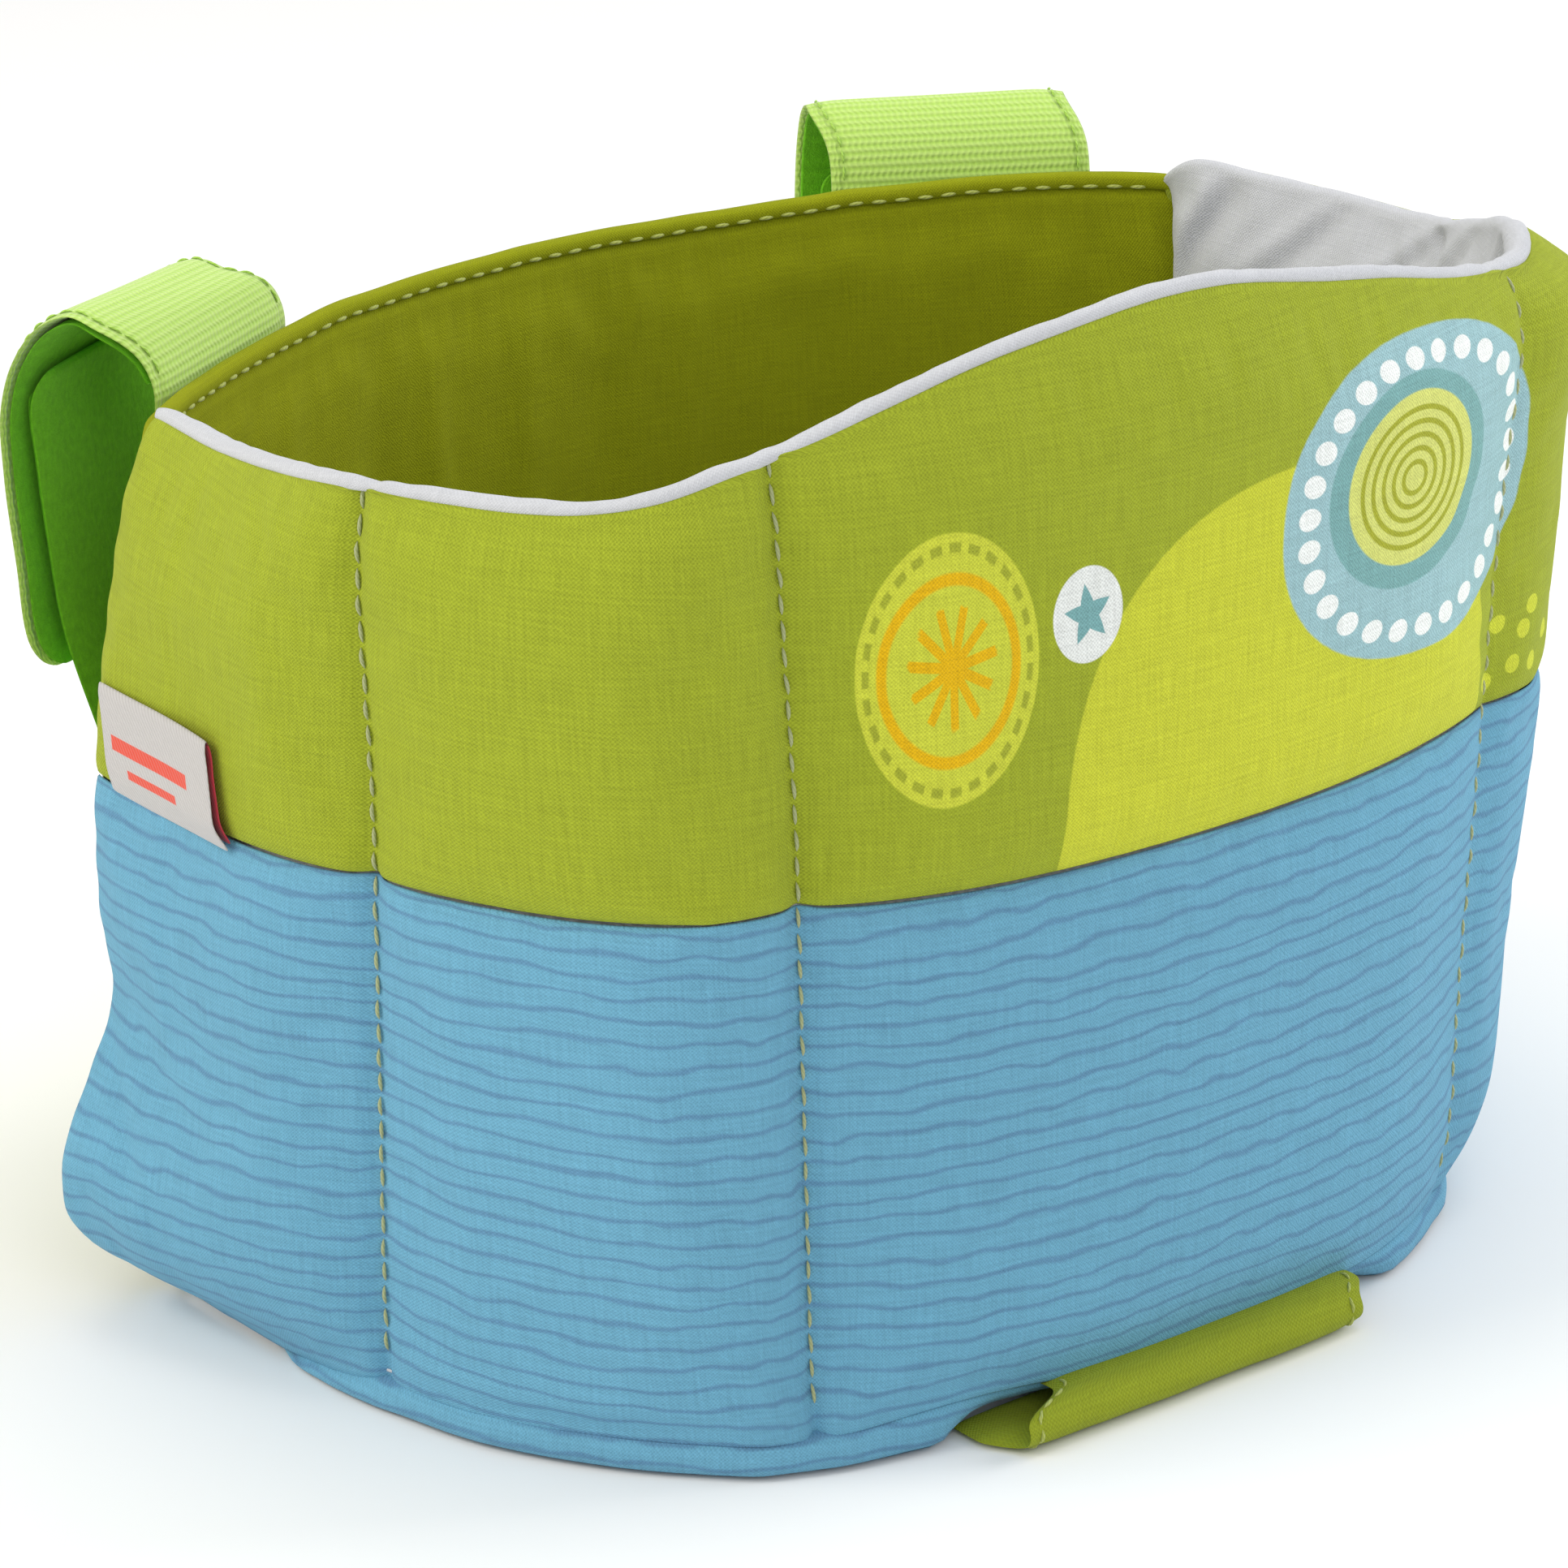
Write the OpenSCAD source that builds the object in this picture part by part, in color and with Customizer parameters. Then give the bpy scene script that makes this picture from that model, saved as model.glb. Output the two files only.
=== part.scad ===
// Small padded fabric bag with two hook-and-loop strap loops on its back rim.
// +Z is up, +Y is the strap side, and the origin is the middle of the flat underside.

/* [Bag outline] */
// Front to back depth of the bag, from the middle of the front to the middle of the back
bag_depth = 146; // [140:1:152]
// How far the back panel bows out behind its two corners
back_bow = 36.7; // [30:0.1:40]
// Half the width of the flat front panel, between its two quilted seams
front_half_w = 63; // [58:1:68]
// How far the front seams stand behind the middle of the front
front_bow = 9; // [6:1:12]
// Half the width of the bag at its widest, near the middle of the sides
side_half_w = 99; // [94:1:104]
// How much narrower the bag is at the bottom than at the top, each side
bottom_taper = 6; // [0:1:9]

/* [Heights] */
// Top of the rim in the middle of the front
rim_front = 153; // [148:1:158]
// Top of the rim at the front corner seams
rim_corner = 139.6; // [135:0.2:144]
// Top of the rim at the side seams
rim_side = 134.5; // [131:0.5:138]
// Top of the rim where the sides meet the back panel
rim_back_corner = 131; // [129:0.5:134]
// Top of the back panel
back_top = 127.6; // [124:0.2:129]
// Height of the seam between the upper and the lower fabric
border_z = 80; // [70:1:90]
// Thickness of the padded base
base_h = 6; // [5:0.5:7]

/* [Layers] */
// Thickness of the padded wall
wall_t = 8; // [6:0.5:10]
// Thickness of the padded wall where it closes at the rim
rim_t = 3.6; // [3:0.1:5]
// Thickness of the unpadded back panel
back_t = 3; // [2.4:0.1:4]
// Thickness of the fabric of the base
fabric_t = 0.8; // [0.6:0.1:1]
// Diameter of the sewing thread
thread_d = 0.6; // [0.4:0.1:0.8]

/* [Straps] */
// Width of the strap webbing
strap_w = 40; // [36:1:42]
// Distance of each strap from its back corner, along the rim
strap_gap = 13; // [10:0.5:15]
// Outer radius of the arch that goes over the handlebar
arch_r = 11; // [10:0.5:12]
// Thickness of the webbing
webbing_t = 1.2; // [1:0.1:1.4]
// Thickness of the loop pile inside the arch
pile_t = 0.7; // [0.5:0.1:0.8]
// Thickness of the hook patch on the lower strap
hook_t = 0.6; // [0.4:0.1:0.7]

/* [Label and tab] */
// Width of the woven label
label_w = 31; // [26:1:34]
// Height of the woven label
label_h = 14; // [10:1:18]
// Width of the bottom tab
tab_w = 56; // [50:1:62]
// How far the tab is sewn to the left of the middle
tab_shift = 2.5; // [0:0.5:4]
// Thickness of the bottom tab
tab_t = 1.4; // [1:0.1:1.6]

/* [Hidden] */

front_y = -bag_depth / 2;
corner_y = bag_depth / 2 - back_bow;
ref_top = 139;             // level of the upper outline
wall_z0 = base_h + 0.1;    // the wall stands on the rim of the base cover
front_lift = 1;            // the front edge of the base is drawn up by the tab
seam_trim = 3.2;           // the padding stops short of the back corner seams
bead_h = 2;                // height of the lining that rolls over the rim
wall_cols = 54;
back_cols = 24;
levels = [9, 14, 25, 36, 46, 60, border_z, 100, 117];
gap = 0.08;                // air between the layers of one wall

// Half width at the back corners at each height: the side pinches in, then flares at the foot.
corner_z = [0, 6, 14, 25, 36, 46, 60, 80, 117, 135, 155];
corner_x = [97, 101, 107.5, 110.5, 106, 101.5, 102.8, 102.5, 96.5, 92, 88];

// ---- curves ----
function segment(k, t, i = 0) = (i >= len(k) - 2 || t < k[i + 1]) ? i : segment(k, t, i + 1);
function slope(k, v, i) =
  i == 0 ? (v[1] - v[0]) / (k[1] - k[0])
  : i == len(k) - 1 ? (v[i] - v[i - 1]) / (k[i] - k[i - 1])
  : ((v[i + 1] - v[i]) / (k[i + 1] - k[i]) * (k[i] - k[i - 1])
     + (v[i] - v[i - 1]) / (k[i] - k[i - 1]) * (k[i + 1] - k[i])) / (k[i + 1] - k[i - 1]);
// Smooth curve through the values v at the knots k.
function spline(k, v, t) =
  let (i = segment(k, t), h = k[i + 1] - k[i], s = (t - k[i]) / h)
  (2 * pow(s, 3) - 3 * pow(s, 2) + 1) * v[i] + (pow(s, 3) - 2 * pow(s, 2) + s) * h * slope(k, v, i)
  + (3 * pow(s, 2) - 2 * pow(s, 3)) * v[i + 1] + (pow(s, 3) - pow(s, 2)) * h * slope(k, v, i + 1);
function smooth(s) = let (c = min(1, max(0, s))) c * c * (3 - 2 * c);
function mirrored(half) = concat(
  [for (i = [len(half) - 1:-1:1]) [-half[i].x, half[i].y]], half);
function reversed(v) = [for (i = [len(v) - 1:-1:0]) v[i]];

// ---- plan of the U-shaped wall, from the left back corner round the front to the right ----
function corner_half(z) = spline(corner_z, corner_x, z);
function half_plan(z) =
  let (g = min(1, max(-0.12, 1 - z / ref_top)), side = side_half_w - bottom_taper * g)
  [
    [0, front_y],
    [front_half_w / 2 - g * 2, front_y + front_bow * 0.24],
    [front_half_w - g * 5, front_y + front_bow + g * 0.5],
    [front_half_w + 13 - g * 11, front_y + front_bow + 3.5 - g * 0.8],
    [side, front_y + 51 + g * 8.5],
    [corner_half(z), corner_y]
  ];
function plan(z) = mirrored(half_plan(z));
function lengths(p, i = 0, sum = 0) =
  i == len(p) - 1 ? [sum] : concat([sum], lengths(p, i + 1, sum + norm(p[i + 1] - p[i])));
raw_knots = lengths(plan(ref_top));
knots = [for (k = raw_knots) k - raw_knots[5]];
wall_end = knots[10];
function wall_xy(t, z) = spline(knots, plan(z), t);
function inward(t, z) =
  let (d = wall_xy(t + 0.5, z) - wall_xy(t - 0.5, z), n = d / norm(d)) [-n.y, n.x];
rim_half = [rim_front, rim_front * 0.68 + rim_corner * 0.32, rim_corner, rim_corner - 2.2, rim_side,
            rim_back_corner];
rim_values = concat(reversed(rim_half), [for (i = [1:5]) rim_half[i]]);
function wall_top(t) = spline(knots, rim_values, t) - bead_h;
function front_zone(t) = 1 - smooth((abs(t) - 33) / 12);
function wall_bottom(t) = wall_z0 + front_lift * front_zone(t);

// The wall closes towards the rim and rounds in a little at the foot.
function near_top(t, z) = pow(max(0, 1 - (wall_top(t) - z) / 14), 2);
function near_foot(z) = pow(max(0, 1 - (z - wall_z0) / 8), 2);
function outer_inset(t, z) = 2.2 * near_top(t, z) + 1.2 * near_foot(z);
function thickness(t, z) = wall_t - (wall_t - rim_t) * near_top(t, z);
// A point of the wall at depth f, from 0 outside to 1 inside.
function wall_at(t, z, f, off = 0) =
  let (n = inward(t, z), p = wall_xy(t, z) + n * (outer_inset(t, z) + f * thickness(t, z) + off))
  [p.x, p.y, z];

// ---- solids from rings ----
function flat(v) = [for (a = v) each a];
function band(n, m) = [
  for (i = [0:n - 2], j = [0:m - 1])
    let (a = i * m + j, b = i * m + (j + 1) % m, c = (i + 1) * m + (j + 1) % m,
         d = (i + 1) * m + j)
    each [[a, b, c], [a, c, d]]
];
// Each ring is two rails of equal length; the ends are closed rung by rung.
module rails(rings) {
  n = len(rings);
  m = len(rings[0]);
  start = [for (j = [0:m / 2 - 2]) each [[m - 1 - j, m - 2 - j, j + 1], [m - 1 - j, j + 1, j]]];
  end = [for (f = start) [for (q = reversed(f)) q + (n - 1) * m]];
  polyhedron(flat(rings), concat(band(n, m), start, end), convexity = 10);
}
// Level rings, one above the other, with a flat face at each end.
module stack(rings) {
  n = len(rings);
  m = len(rings[0]);
  side = [for (f = band(n, m)) reversed(f)];
  bottom = [[for (j = [0:m - 1]) j]];
  top = [[for (j = [m - 1:-1:0]) (n - 1) * m + j]];
  polyhedron(flat(rings), concat(side, bottom, top), convexity = 10);
}
columns = [for (k = [0:wall_cols]) (wall_end - seam_trim) * (2 * k / wall_cols - 1)];
// Heights of the points up a wall, closer together where it bends.
function heights(low, high) = concat(
  [low], [for (z = levels) if (z > low + 1 && z < high - 1) z],
  high > border_z ? [high - 8, high - 3.5, high] : [high]);
module wall_layer(low, high, f0, f1) {
  rails([for (t = columns)
    let (z = heights(low(t), high(t)))
    concat([for (q = z) wall_at(t, q, f0)], [for (q = reversed(z)) wall_at(t, q, f1)])]);
}

// ---- padded front and side wall ----
module upper_wall_cover() {
  color("#9aa62a") wall_layer(function (t) border_z + gap, function (t) wall_top(t), 0, 0.1);
}
module lower_wall_cover() {
  color("#64a3d0") wall_layer(function (t) wall_bottom(t), function (t) border_z, 0, 0.1);
}
module wall_wadding() {
  color("white") wall_layer(function (t) wall_bottom(t), function (t) wall_top(t), 0.14, 0.86);
}
// The lining rolls over the rim as a narrow bead.
module wall_lining() {
  color("#c9cbd2") rails([for (t = columns)
    let (h = wall_top(t), z = heights(wall_bottom(t), h))
    concat(
      [for (q = z) wall_at(t, q, 0.9)],
      [for (p = [[0.8, 0.1], [0.5, 0.1], [0.2, 0.1], [-0.06, 0.15]]) lift(wall_at(t, h, p.x), p.y)],
      [for (p = [[-0.1, 0.9], [0.15, bead_h - 0.2], [0.6, bead_h], [0.95, 1.2]]) lift(wall_at(t, h, p.x), p.y)],
      [for (q = reversed(z)) wall_at(t, q, 1)])]);
}
function lift(p, h) = [p.x, p.y, p.z + h];

// One row of thread down a quilted seam.
module quilting(t) {
  color("#8f9a6a") rails([for (z = heights(wall_bottom(t) + 1, wall_top(t) - 0.5))
    [for (c = [[-0.5, -0.2], [0.5, -0.2], [0.5, -1.2], [-0.5, -1.2]])
      wall_at(t + c.x * thread_d, z, 0, c.y * thread_d)]]);
}
side_seam = knots[9];
front_seam = knots[7];
module left_side_quilting() { quilting(-side_seam); }
module left_front_quilting() { quilting(-front_seam); }
module right_front_quilting() { quilting(front_seam); }
module right_side_quilting() { quilting(side_seam); }

// ---- back panel: a thin bowed sheet between the back corners ----
function back_r(z) = let (l = corner_half(z)) (l * l + back_bow * back_bow) / (2 * back_bow);
function back_at(s, z, depth) =
  let (r = back_r(z), a = s * 2 * atan(back_bow / corner_half(z)), q = r - depth)
  [q * sin(a), corner_y + back_bow - r + q * cos(a), z];
module back_layer(low, high, d0, d1) {
  z = heights(low, high);
  rails([for (k = [0:back_cols])
    let (s = 2 * k / back_cols - 1)
    concat([for (q = reversed(z)) back_at(s, q, d0)], [for (q = z) back_at(s, q, d1)])]);
}
skin = 0.2 * back_t;
module back_panel_cover() {
  // The cover folds over the top of the panel.
  z = heights(wall_z0, back_top - skin);
  color("#7f8c22") rails([for (k = [0:back_cols])
    let (s = 2 * k / back_cols - 1)
    concat(
      [back_at(s, back_top, back_t), back_at(s, back_top, skin), back_at(s, back_top - skin / 2, 0)],
      [for (q = reversed(z)) back_at(s, q, 0)],
      [for (q = z) back_at(s, q, skin)],
      [back_at(s, back_top - skin, skin + 0.05), back_at(s, back_top - skin, 2 * skin),
       back_at(s, back_top - skin, back_t)])]);
}
module back_panel_interlining() {
  color("white") back_layer(wall_z0, back_top - skin - gap, skin + gap, back_t - skin - gap);
}
module back_panel_lining() {
  color("#84881a") back_layer(wall_z0, back_top - skin - gap, back_t - skin, back_t);
}
module back_rim_topstitch() {
  stitch_z = back_top - 4.6;
  color("#a9b36a") rails([for (k = [1:back_cols - 1])
    let (s = 2 * k / back_cols - 1)
    [for (c = [[0.5, 0.02], [-0.5, 0.02], [-0.5, 0.7], [0.5, 0.7]])
      back_at(s, stitch_z + c.x * thread_d, back_t + c.y * thread_d)]]);
}

// ---- base ----
base_ts = [for (k = [0:50]) (wall_end - 7) * (2 * k / 50 - 1)];
base_arc = [for (k = [1:19]) 1 - 2 * k / 20];
// One ring round the base: inset from the outline, more under the tab.
function base_ring(inset, front_inset, z, lift = front_lift) = concat(
  [for (t = base_ts)
    let (e = front_zone(t), p = wall_xy(t, base_h) + inward(t, base_h) * (inset + e * (front_inset - inset)))
    [p.x, p.y, z + lift * e * smooth((z - 2) / 3)]],
  [for (s = base_arc) let (p = back_at(s, base_h, inset)) [p.x, p.y, z]]);
edge = [[2.4, 17, 0], [0.7, 12, 0.8], [0, 5, 2.4], [0, 1, 4.6], [0.4, 0.4, base_h]];
function inset_edge(d, e) = [for (q = e) [q.x + d, q.y + d, q.z + d * 0.9]];
module base_cover() {
  inner = inset_edge(fabric_t, [for (i = [0:3]) edge[i]]);
  lip = [edge[4].x + fabric_t, edge[4].y + fabric_t, base_h];
  rings = concat(edge, [lip], reversed(inner));
  color("#5f9fce") stack([for (q = rings) base_ring(q.x, q.y, q.z)]);
}
wad = fabric_t + 0.25;
module base_wadding() {
  top = base_ring(edge[3].x + wad + 0.3, edge[3].y + wad + 2.6, 4.8, 0);
  color("white") stack(concat(
    [for (q = inset_edge(wad, [edge[0], edge[1], edge[2]])) base_ring(q.x, q.y, q.z)], [top]));
}
module base_lining() {
  color("#c9cbd2") stack([for (z = [base_h - 1, base_h - 0.2]) base_ring(2.4, 4.2, z, 0)]);
}

// ---- straps: drawn as a side view, with x out from the back panel and y up ----
rim_half_w = corner_half(back_top);
rim_r = back_r(back_top);
strap_turn = 2 * atan(back_bow / rim_half_w) - (strap_gap + strap_w / 2) / rim_r * 180 / PI;
strap_x = rim_r * sin(strap_turn);
strap_y = corner_y + back_bow - rim_r + rim_r * cos(strap_turn);
arch = [arch_r + 1, back_top - 1.8];       // centre of the arch
arch_cut = 2.6;                            // the arch starts this far above its centre
tail_end = [arch.x + arch_r - 2.5, back_top - 38];
// side is -1 for the left strap and 1 for the right one
module at_strap(side, width) {
  translate([side * strap_x, strap_y, 0])
    rotate([0, 0, -side * strap_turn])
      rotate([90, 0, 90])
        linear_extrude(width, center = true) children();
}
function bend(p, i) = let (a = p[max(0, i - 1)], b = p[min(len(p) - 1, i + 1)], d = (b - a) / norm(b - a)) [-d.y, d.x];
// A strip of even thickness along a line of points.
module strip(p, t) {
  polygon(concat([for (i = [0:len(p) - 1]) p[i] + bend(p, i) * t / 2],
                 [for (i = [len(p) - 1:-1:0]) p[i] - bend(p, i) * t / 2]));
}
// The arch and the tail between two distances inside the arch's outer radius.
module arch_strip(d0, d1) {
  top = arch + [arch_r, 0];
  translate(arch) intersection() {
    difference() {
      circle(arch_r - d0, $fn = 72);
      circle(arch_r - d1, $fn = 72);
    }
    union() {
      translate([-arch_r - 1, arch_cut]) square([2 * arch_r + 2, arch_r]);
      square([arch_r + 1, arch_r]);
    }
  }
  polygon([top - [d0, 0], top - [d1, 0], tail_end - [d1, 0], tail_end - [d0, 0]]);
}
module strap_anchor(side) {
  color("#a8cf52") at_strap(side, strap_w)
    translate([arch.x - arch_r, back_top - 6]) square([webbing_t, 6.3]);
}
module strap_webbing(side) { color("#b5dc62") at_strap(side, strap_w) arch_strip(0, webbing_t); }
module strap_pile(side) {
  color("#7fd03a") at_strap(side, strap_w - 1) arch_strip(webbing_t + gap, webbing_t + gap + pile_t);
}
module strap_edge_stitching(side) {
  row = strap_w / 2 - 2;
  for (x = [-row, row])
    translate([side * strap_x, strap_y, 0])
      rotate([0, 0, -side * strap_turn])
        translate([x, 0, 0])
          rotate([90, 0, 90])
            color("#8fb84a") linear_extrude(thread_d, center = true) arch_strip(-0.45, -0.05);
}
lower_path = [[4.2, 58.5], [6.8, 67], [12.6, 81], [17, 93], [18.3, 110], [19, 125]];
module lower_strap(side) { color("#8ecb45") at_strap(side, strap_w - 2) strip(lower_path, webbing_t); }
module hook_patch(side) {
  shift = (webbing_t + hook_t) / 2 + 0.06;
  color("#79c135") at_strap(side, strap_w - 6)
    strip([for (p = [lower_path[3] + [0.1, 2], lower_path[4], lower_path[5] - [0, 1]]) p + [shift, 0]], hook_t);
}
module left_strap_anchor() { strap_anchor(-1); }
module left_strap_webbing() { strap_webbing(-1); }
module left_strap_pile() { strap_pile(-1); }
module left_strap_edge_stitching() { strap_edge_stitching(-1); }
module left_lower_strap() { lower_strap(-1); }
module left_hook_patch() { hook_patch(-1); }
module right_strap_anchor() { strap_anchor(1); }
module right_strap_webbing() { strap_webbing(1); }
module right_strap_pile() { strap_pile(1); }
module right_strap_edge_stitching() { strap_edge_stitching(1); }
module right_lower_strap() { lower_strap(1); }
module right_hook_patch() { hook_patch(1); }

// ---- woven label: a folded tag that stands up from the border seam on the left side ----
label_t = -wall_end + 20;
label_lean = 6;
module woven_label() {
  n = inward(label_t, border_z + 6);
  p = wall_xy(label_t, border_z + 1);
  fold = [[0, 0], [0, label_h - 0.4], [0.3, label_h], [0.7, label_h], [1, label_h - 0.4], [1, 0.3]];
  color("#e8e8ea") translate([p.x - n.x * 1.2, p.y - n.y * 1.2, border_z + 0.4])
    rotate([0, 0, atan2(-n.x, n.y)])
      rotate([-label_lean, 0, 0])
        rotate([90, 0, 90])
          linear_extrude(label_w, center = true) translate([-1, 0]) strip(fold, 0.4);
}

// ---- bottom tab: sewn in the front bottom seam and folded under the base ----
tab_path = [[-1.7, 1.1], [-3.4, 0.6], [-5, -0.7], [-5.6, -2.6], [-5, -4.6], [-3.2, -5.8], [0, -6], [6, -6]];
module tab_shape(t, w) {
  translate([-tab_shift, front_y, wall_z0 + front_lift])
    rotate([90, 0, 90])
      linear_extrude(w, center = true) strip(tab_path, t);
}
module bottom_tab() { color("#93a02a") tab_shape(tab_t, tab_w); }
module bottom_tab_stitching() {
  row = tab_w / 2 - 2.4;
  outside = [for (i = [0:4]) tab_path[i] + bend(tab_path, i) * -(tab_t / 2 + 0.25)];
  color("#aab56a") for (x = [-row, row])
    translate([x - tab_shift, front_y, wall_z0 + front_lift])
      rotate([90, 0, 90])
        linear_extrude(thread_d, center = true) strip(outside, 0.4);
}

upper_wall_cover();
lower_wall_cover();
wall_wadding();
wall_lining();
back_panel_cover();
back_panel_interlining();
back_panel_lining();
back_rim_topstitch();
base_cover();
base_wadding();
base_lining();
left_side_quilting();
left_front_quilting();
right_front_quilting();
right_side_quilting();
left_strap_anchor();
left_strap_webbing();
left_strap_pile();
left_strap_edge_stitching();
left_lower_strap();
left_hook_patch();
right_strap_anchor();
right_strap_webbing();
right_strap_pile();
right_strap_edge_stitching();
right_lower_strap();
right_hook_patch();
woven_label();
bottom_tab();
bottom_tab_stitching();
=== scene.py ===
import math
import bmesh
import bpy
import numpy as np
from mathutils import Matrix, Vector


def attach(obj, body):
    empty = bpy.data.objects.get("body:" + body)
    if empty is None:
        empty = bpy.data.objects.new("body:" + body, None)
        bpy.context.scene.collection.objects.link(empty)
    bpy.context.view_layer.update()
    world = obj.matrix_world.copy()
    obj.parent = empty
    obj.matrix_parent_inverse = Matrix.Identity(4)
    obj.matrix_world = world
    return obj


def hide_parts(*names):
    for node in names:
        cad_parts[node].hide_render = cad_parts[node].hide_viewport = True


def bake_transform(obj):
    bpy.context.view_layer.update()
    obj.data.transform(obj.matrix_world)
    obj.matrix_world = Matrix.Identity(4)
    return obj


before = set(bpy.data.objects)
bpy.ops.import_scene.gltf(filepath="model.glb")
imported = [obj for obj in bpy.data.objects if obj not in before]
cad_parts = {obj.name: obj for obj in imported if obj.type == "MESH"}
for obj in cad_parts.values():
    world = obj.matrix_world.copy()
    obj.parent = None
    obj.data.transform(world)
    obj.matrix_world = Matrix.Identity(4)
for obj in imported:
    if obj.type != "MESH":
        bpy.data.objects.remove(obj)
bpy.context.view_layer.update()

# Lengths are in millimetres, as in the CAD source, and become metres when a mesh is made.
MM = 0.001
FRONT_Y, CORNER_Y, BACK_BOW = -73.0, 36.3, 36.7
FRONT_HALF_W, FRONT_BOW, SIDE_HALF_W, BOTTOM_TAPER = 63.0, 9.0, 99.0, 6.0
RIM_FRONT, RIM_CORNER, RIM_SIDE, RIM_BACK, BACK_TOP = 153.0, 139.6, 134.5, 131.0, 127.6
BORDER_Z, WALL_Z0, WALL_T, RIM_T, BEAD = 80.0, 6.1, 8.0, 3.6, 2.0
REF_TOP, BASE_H, FRONT_LIFT = 139.0, 6.0, 1.0
FRONT_SEAM, SIDE_SEAM, WALL_END = 63.808, 122.118, 180.946
SEAMS = (-SIDE_SEAM, -FRONT_SEAM, FRONT_SEAM, SIDE_SEAM)
MARKS = (-WALL_END, *SEAMS, WALL_END)
STRAP_TURN, STRAP_X, STRAP_Y, STRAP_W = math.radians(29.0507), 67.168, 55.598, 40.0
TAB_X, TAB_W = -2.5, 56.0
LABEL_AT = (-102.78, 17.72, 80.4)
PANEL_HALF = 122.0  # half the back panel's length along its bow
CYCLE = 2 * math.pi


# ---------------------------------------------------------------- curves and surfaces
def smooth(s):
    c = np.clip(s, 0, 1)
    return c * c * (3 - 2 * c)


def bell(x, width, power=2):
    """A smooth bump over x: 1 at 0, and falling off over its width."""
    return np.exp(-(x / width) ** power)


def pair(a, b):
    """Points or cloth coordinates from their two parts."""
    return np.stack(np.broadcast_arrays(a, b), -1)


def grid(a, b):
    """Every pair of a value of a and one of b, as two arrays."""
    return np.meshgrid(a, b, indexing="ij")


def run_length(points):
    """The distance of each point of a line from its first one, along it."""
    return np.concatenate([[0], np.cumsum(np.linalg.norm(np.diff(points, axis=0), axis=1))])


def spline(k, v, t):
    """Smooth curve through the values v at the knots k, at t; v may differ for each t."""
    shape = np.shape(t)
    k, v, t = np.asarray(k, float), np.asarray(v, float), np.ravel(t).astype(float)
    if v.ndim == 1:
        v = np.repeat(v[:, None], t.size, 1)
    h = (k[1:] - k[:-1])[:, None]
    d = (v[1:] - v[:-1]) / h
    m = np.vstack([d[:1], (d[1:] * h[:-1] + d[:-1] * h[1:]) / (h[:-1] + h[1:]), d[-1:]])
    i = np.clip(np.searchsorted(k, t, side="right") - 1, 0, len(k) - 2)
    c = np.arange(t.size)
    w = k[i + 1] - k[i]
    s = (t - k[i]) / w
    return ((2 * s**3 - 3 * s**2 + 1) * v[i, c] + (s**3 - 2 * s**2 + s) * w * m[i, c]
            + (3 * s**2 - 2 * s**3) * v[i + 1, c] + (s**3 - s**2) * w * m[i + 1, c]).reshape(shape)


def line_noise(x, scale, seed, octaves=2):
    """Smooth noise along a line, about -1 to 1."""
    out, amp = np.zeros_like(x, dtype=float), 1.0
    for o in range(octaves):
        r = np.random.default_rng(seed + 31 * o)
        knots = r.uniform(-1, 1, 512)
        p = x / scale * 2**o + 200
        i = np.floor(p).astype(int)
        f = smooth(p - i)
        out += amp * (knots[i % 512] * (1 - f) + knots[(i + 1) % 512] * f)
        amp *= 0.5
    return out / 1.5


def area_noise(x, y, scale, seed):
    """Smooth noise over a plane, about -1 to 1."""
    table = np.random.default_rng(seed).uniform(-1, 1, (128, 128))
    p, q = x / scale + 60, y / scale + 60
    i, j = np.floor(p).astype(int), np.floor(q).astype(int)
    f, g = smooth(p - i), smooth(q - j)
    at = lambda a, b: table[a % 128, b % 128]
    return ((at(i, j) * (1 - f) + at(i + 1, j) * f) * (1 - g)
            + (at(i, j + 1) * (1 - f) + at(i + 1, j + 1) * f) * g)


# Half the width at the back corners, by height.
CORNER_Z = [0, 6, 12, 25, 36, 46, 60, 80, 117, 135, 160]
CORNER_X = [100, 102.5, 108.2, 110.6, 106, 101.5, 102.8, 102.5, 96.5, 92, 87]


def corner_half(z):
    return spline(CORNER_Z, CORNER_X, z)


def plan(z):
    """The eleven points of the wall's outline at each height, as x and y."""
    g = np.clip(1 - z / REF_TOP, -0.12, 1)
    o = np.zeros_like(z)
    x = [o, FRONT_HALF_W / 2 - 2 * g, FRONT_HALF_W - 5 * g, FRONT_HALF_W + 13 - 11 * g,
         SIDE_HALF_W - BOTTOM_TAPER * g, corner_half(z)]
    y = [o + FRONT_Y, o + FRONT_Y + FRONT_BOW * 0.24, FRONT_Y + FRONT_BOW + 0.5 * g,
         FRONT_Y + FRONT_BOW + 3.5 - 0.8 * g, FRONT_Y + 51 + 8.5 * g, o + CORNER_Y]
    return (np.array([-a for a in x[:0:-1]] + x), np.array(y[:0:-1] + y))


# Distances of the outline's points along the wall at the reference height, from the middle of the front.
KNOTS = run_length(np.concatenate(plan(np.array([REF_TOP])), 1))
KNOTS -= KNOTS[5]


def wall_xy(t, z):
    x, y = plan(z)
    return pair(spline(KNOTS, x, t), spline(KNOTS, y, t))


def inward(t, z):
    d = wall_xy(t + 0.5, z) - wall_xy(t - 0.5, z)
    d /= np.linalg.norm(d, axis=-1, keepdims=True)
    return pair(-d[:, 1], d[:, 0])


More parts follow.
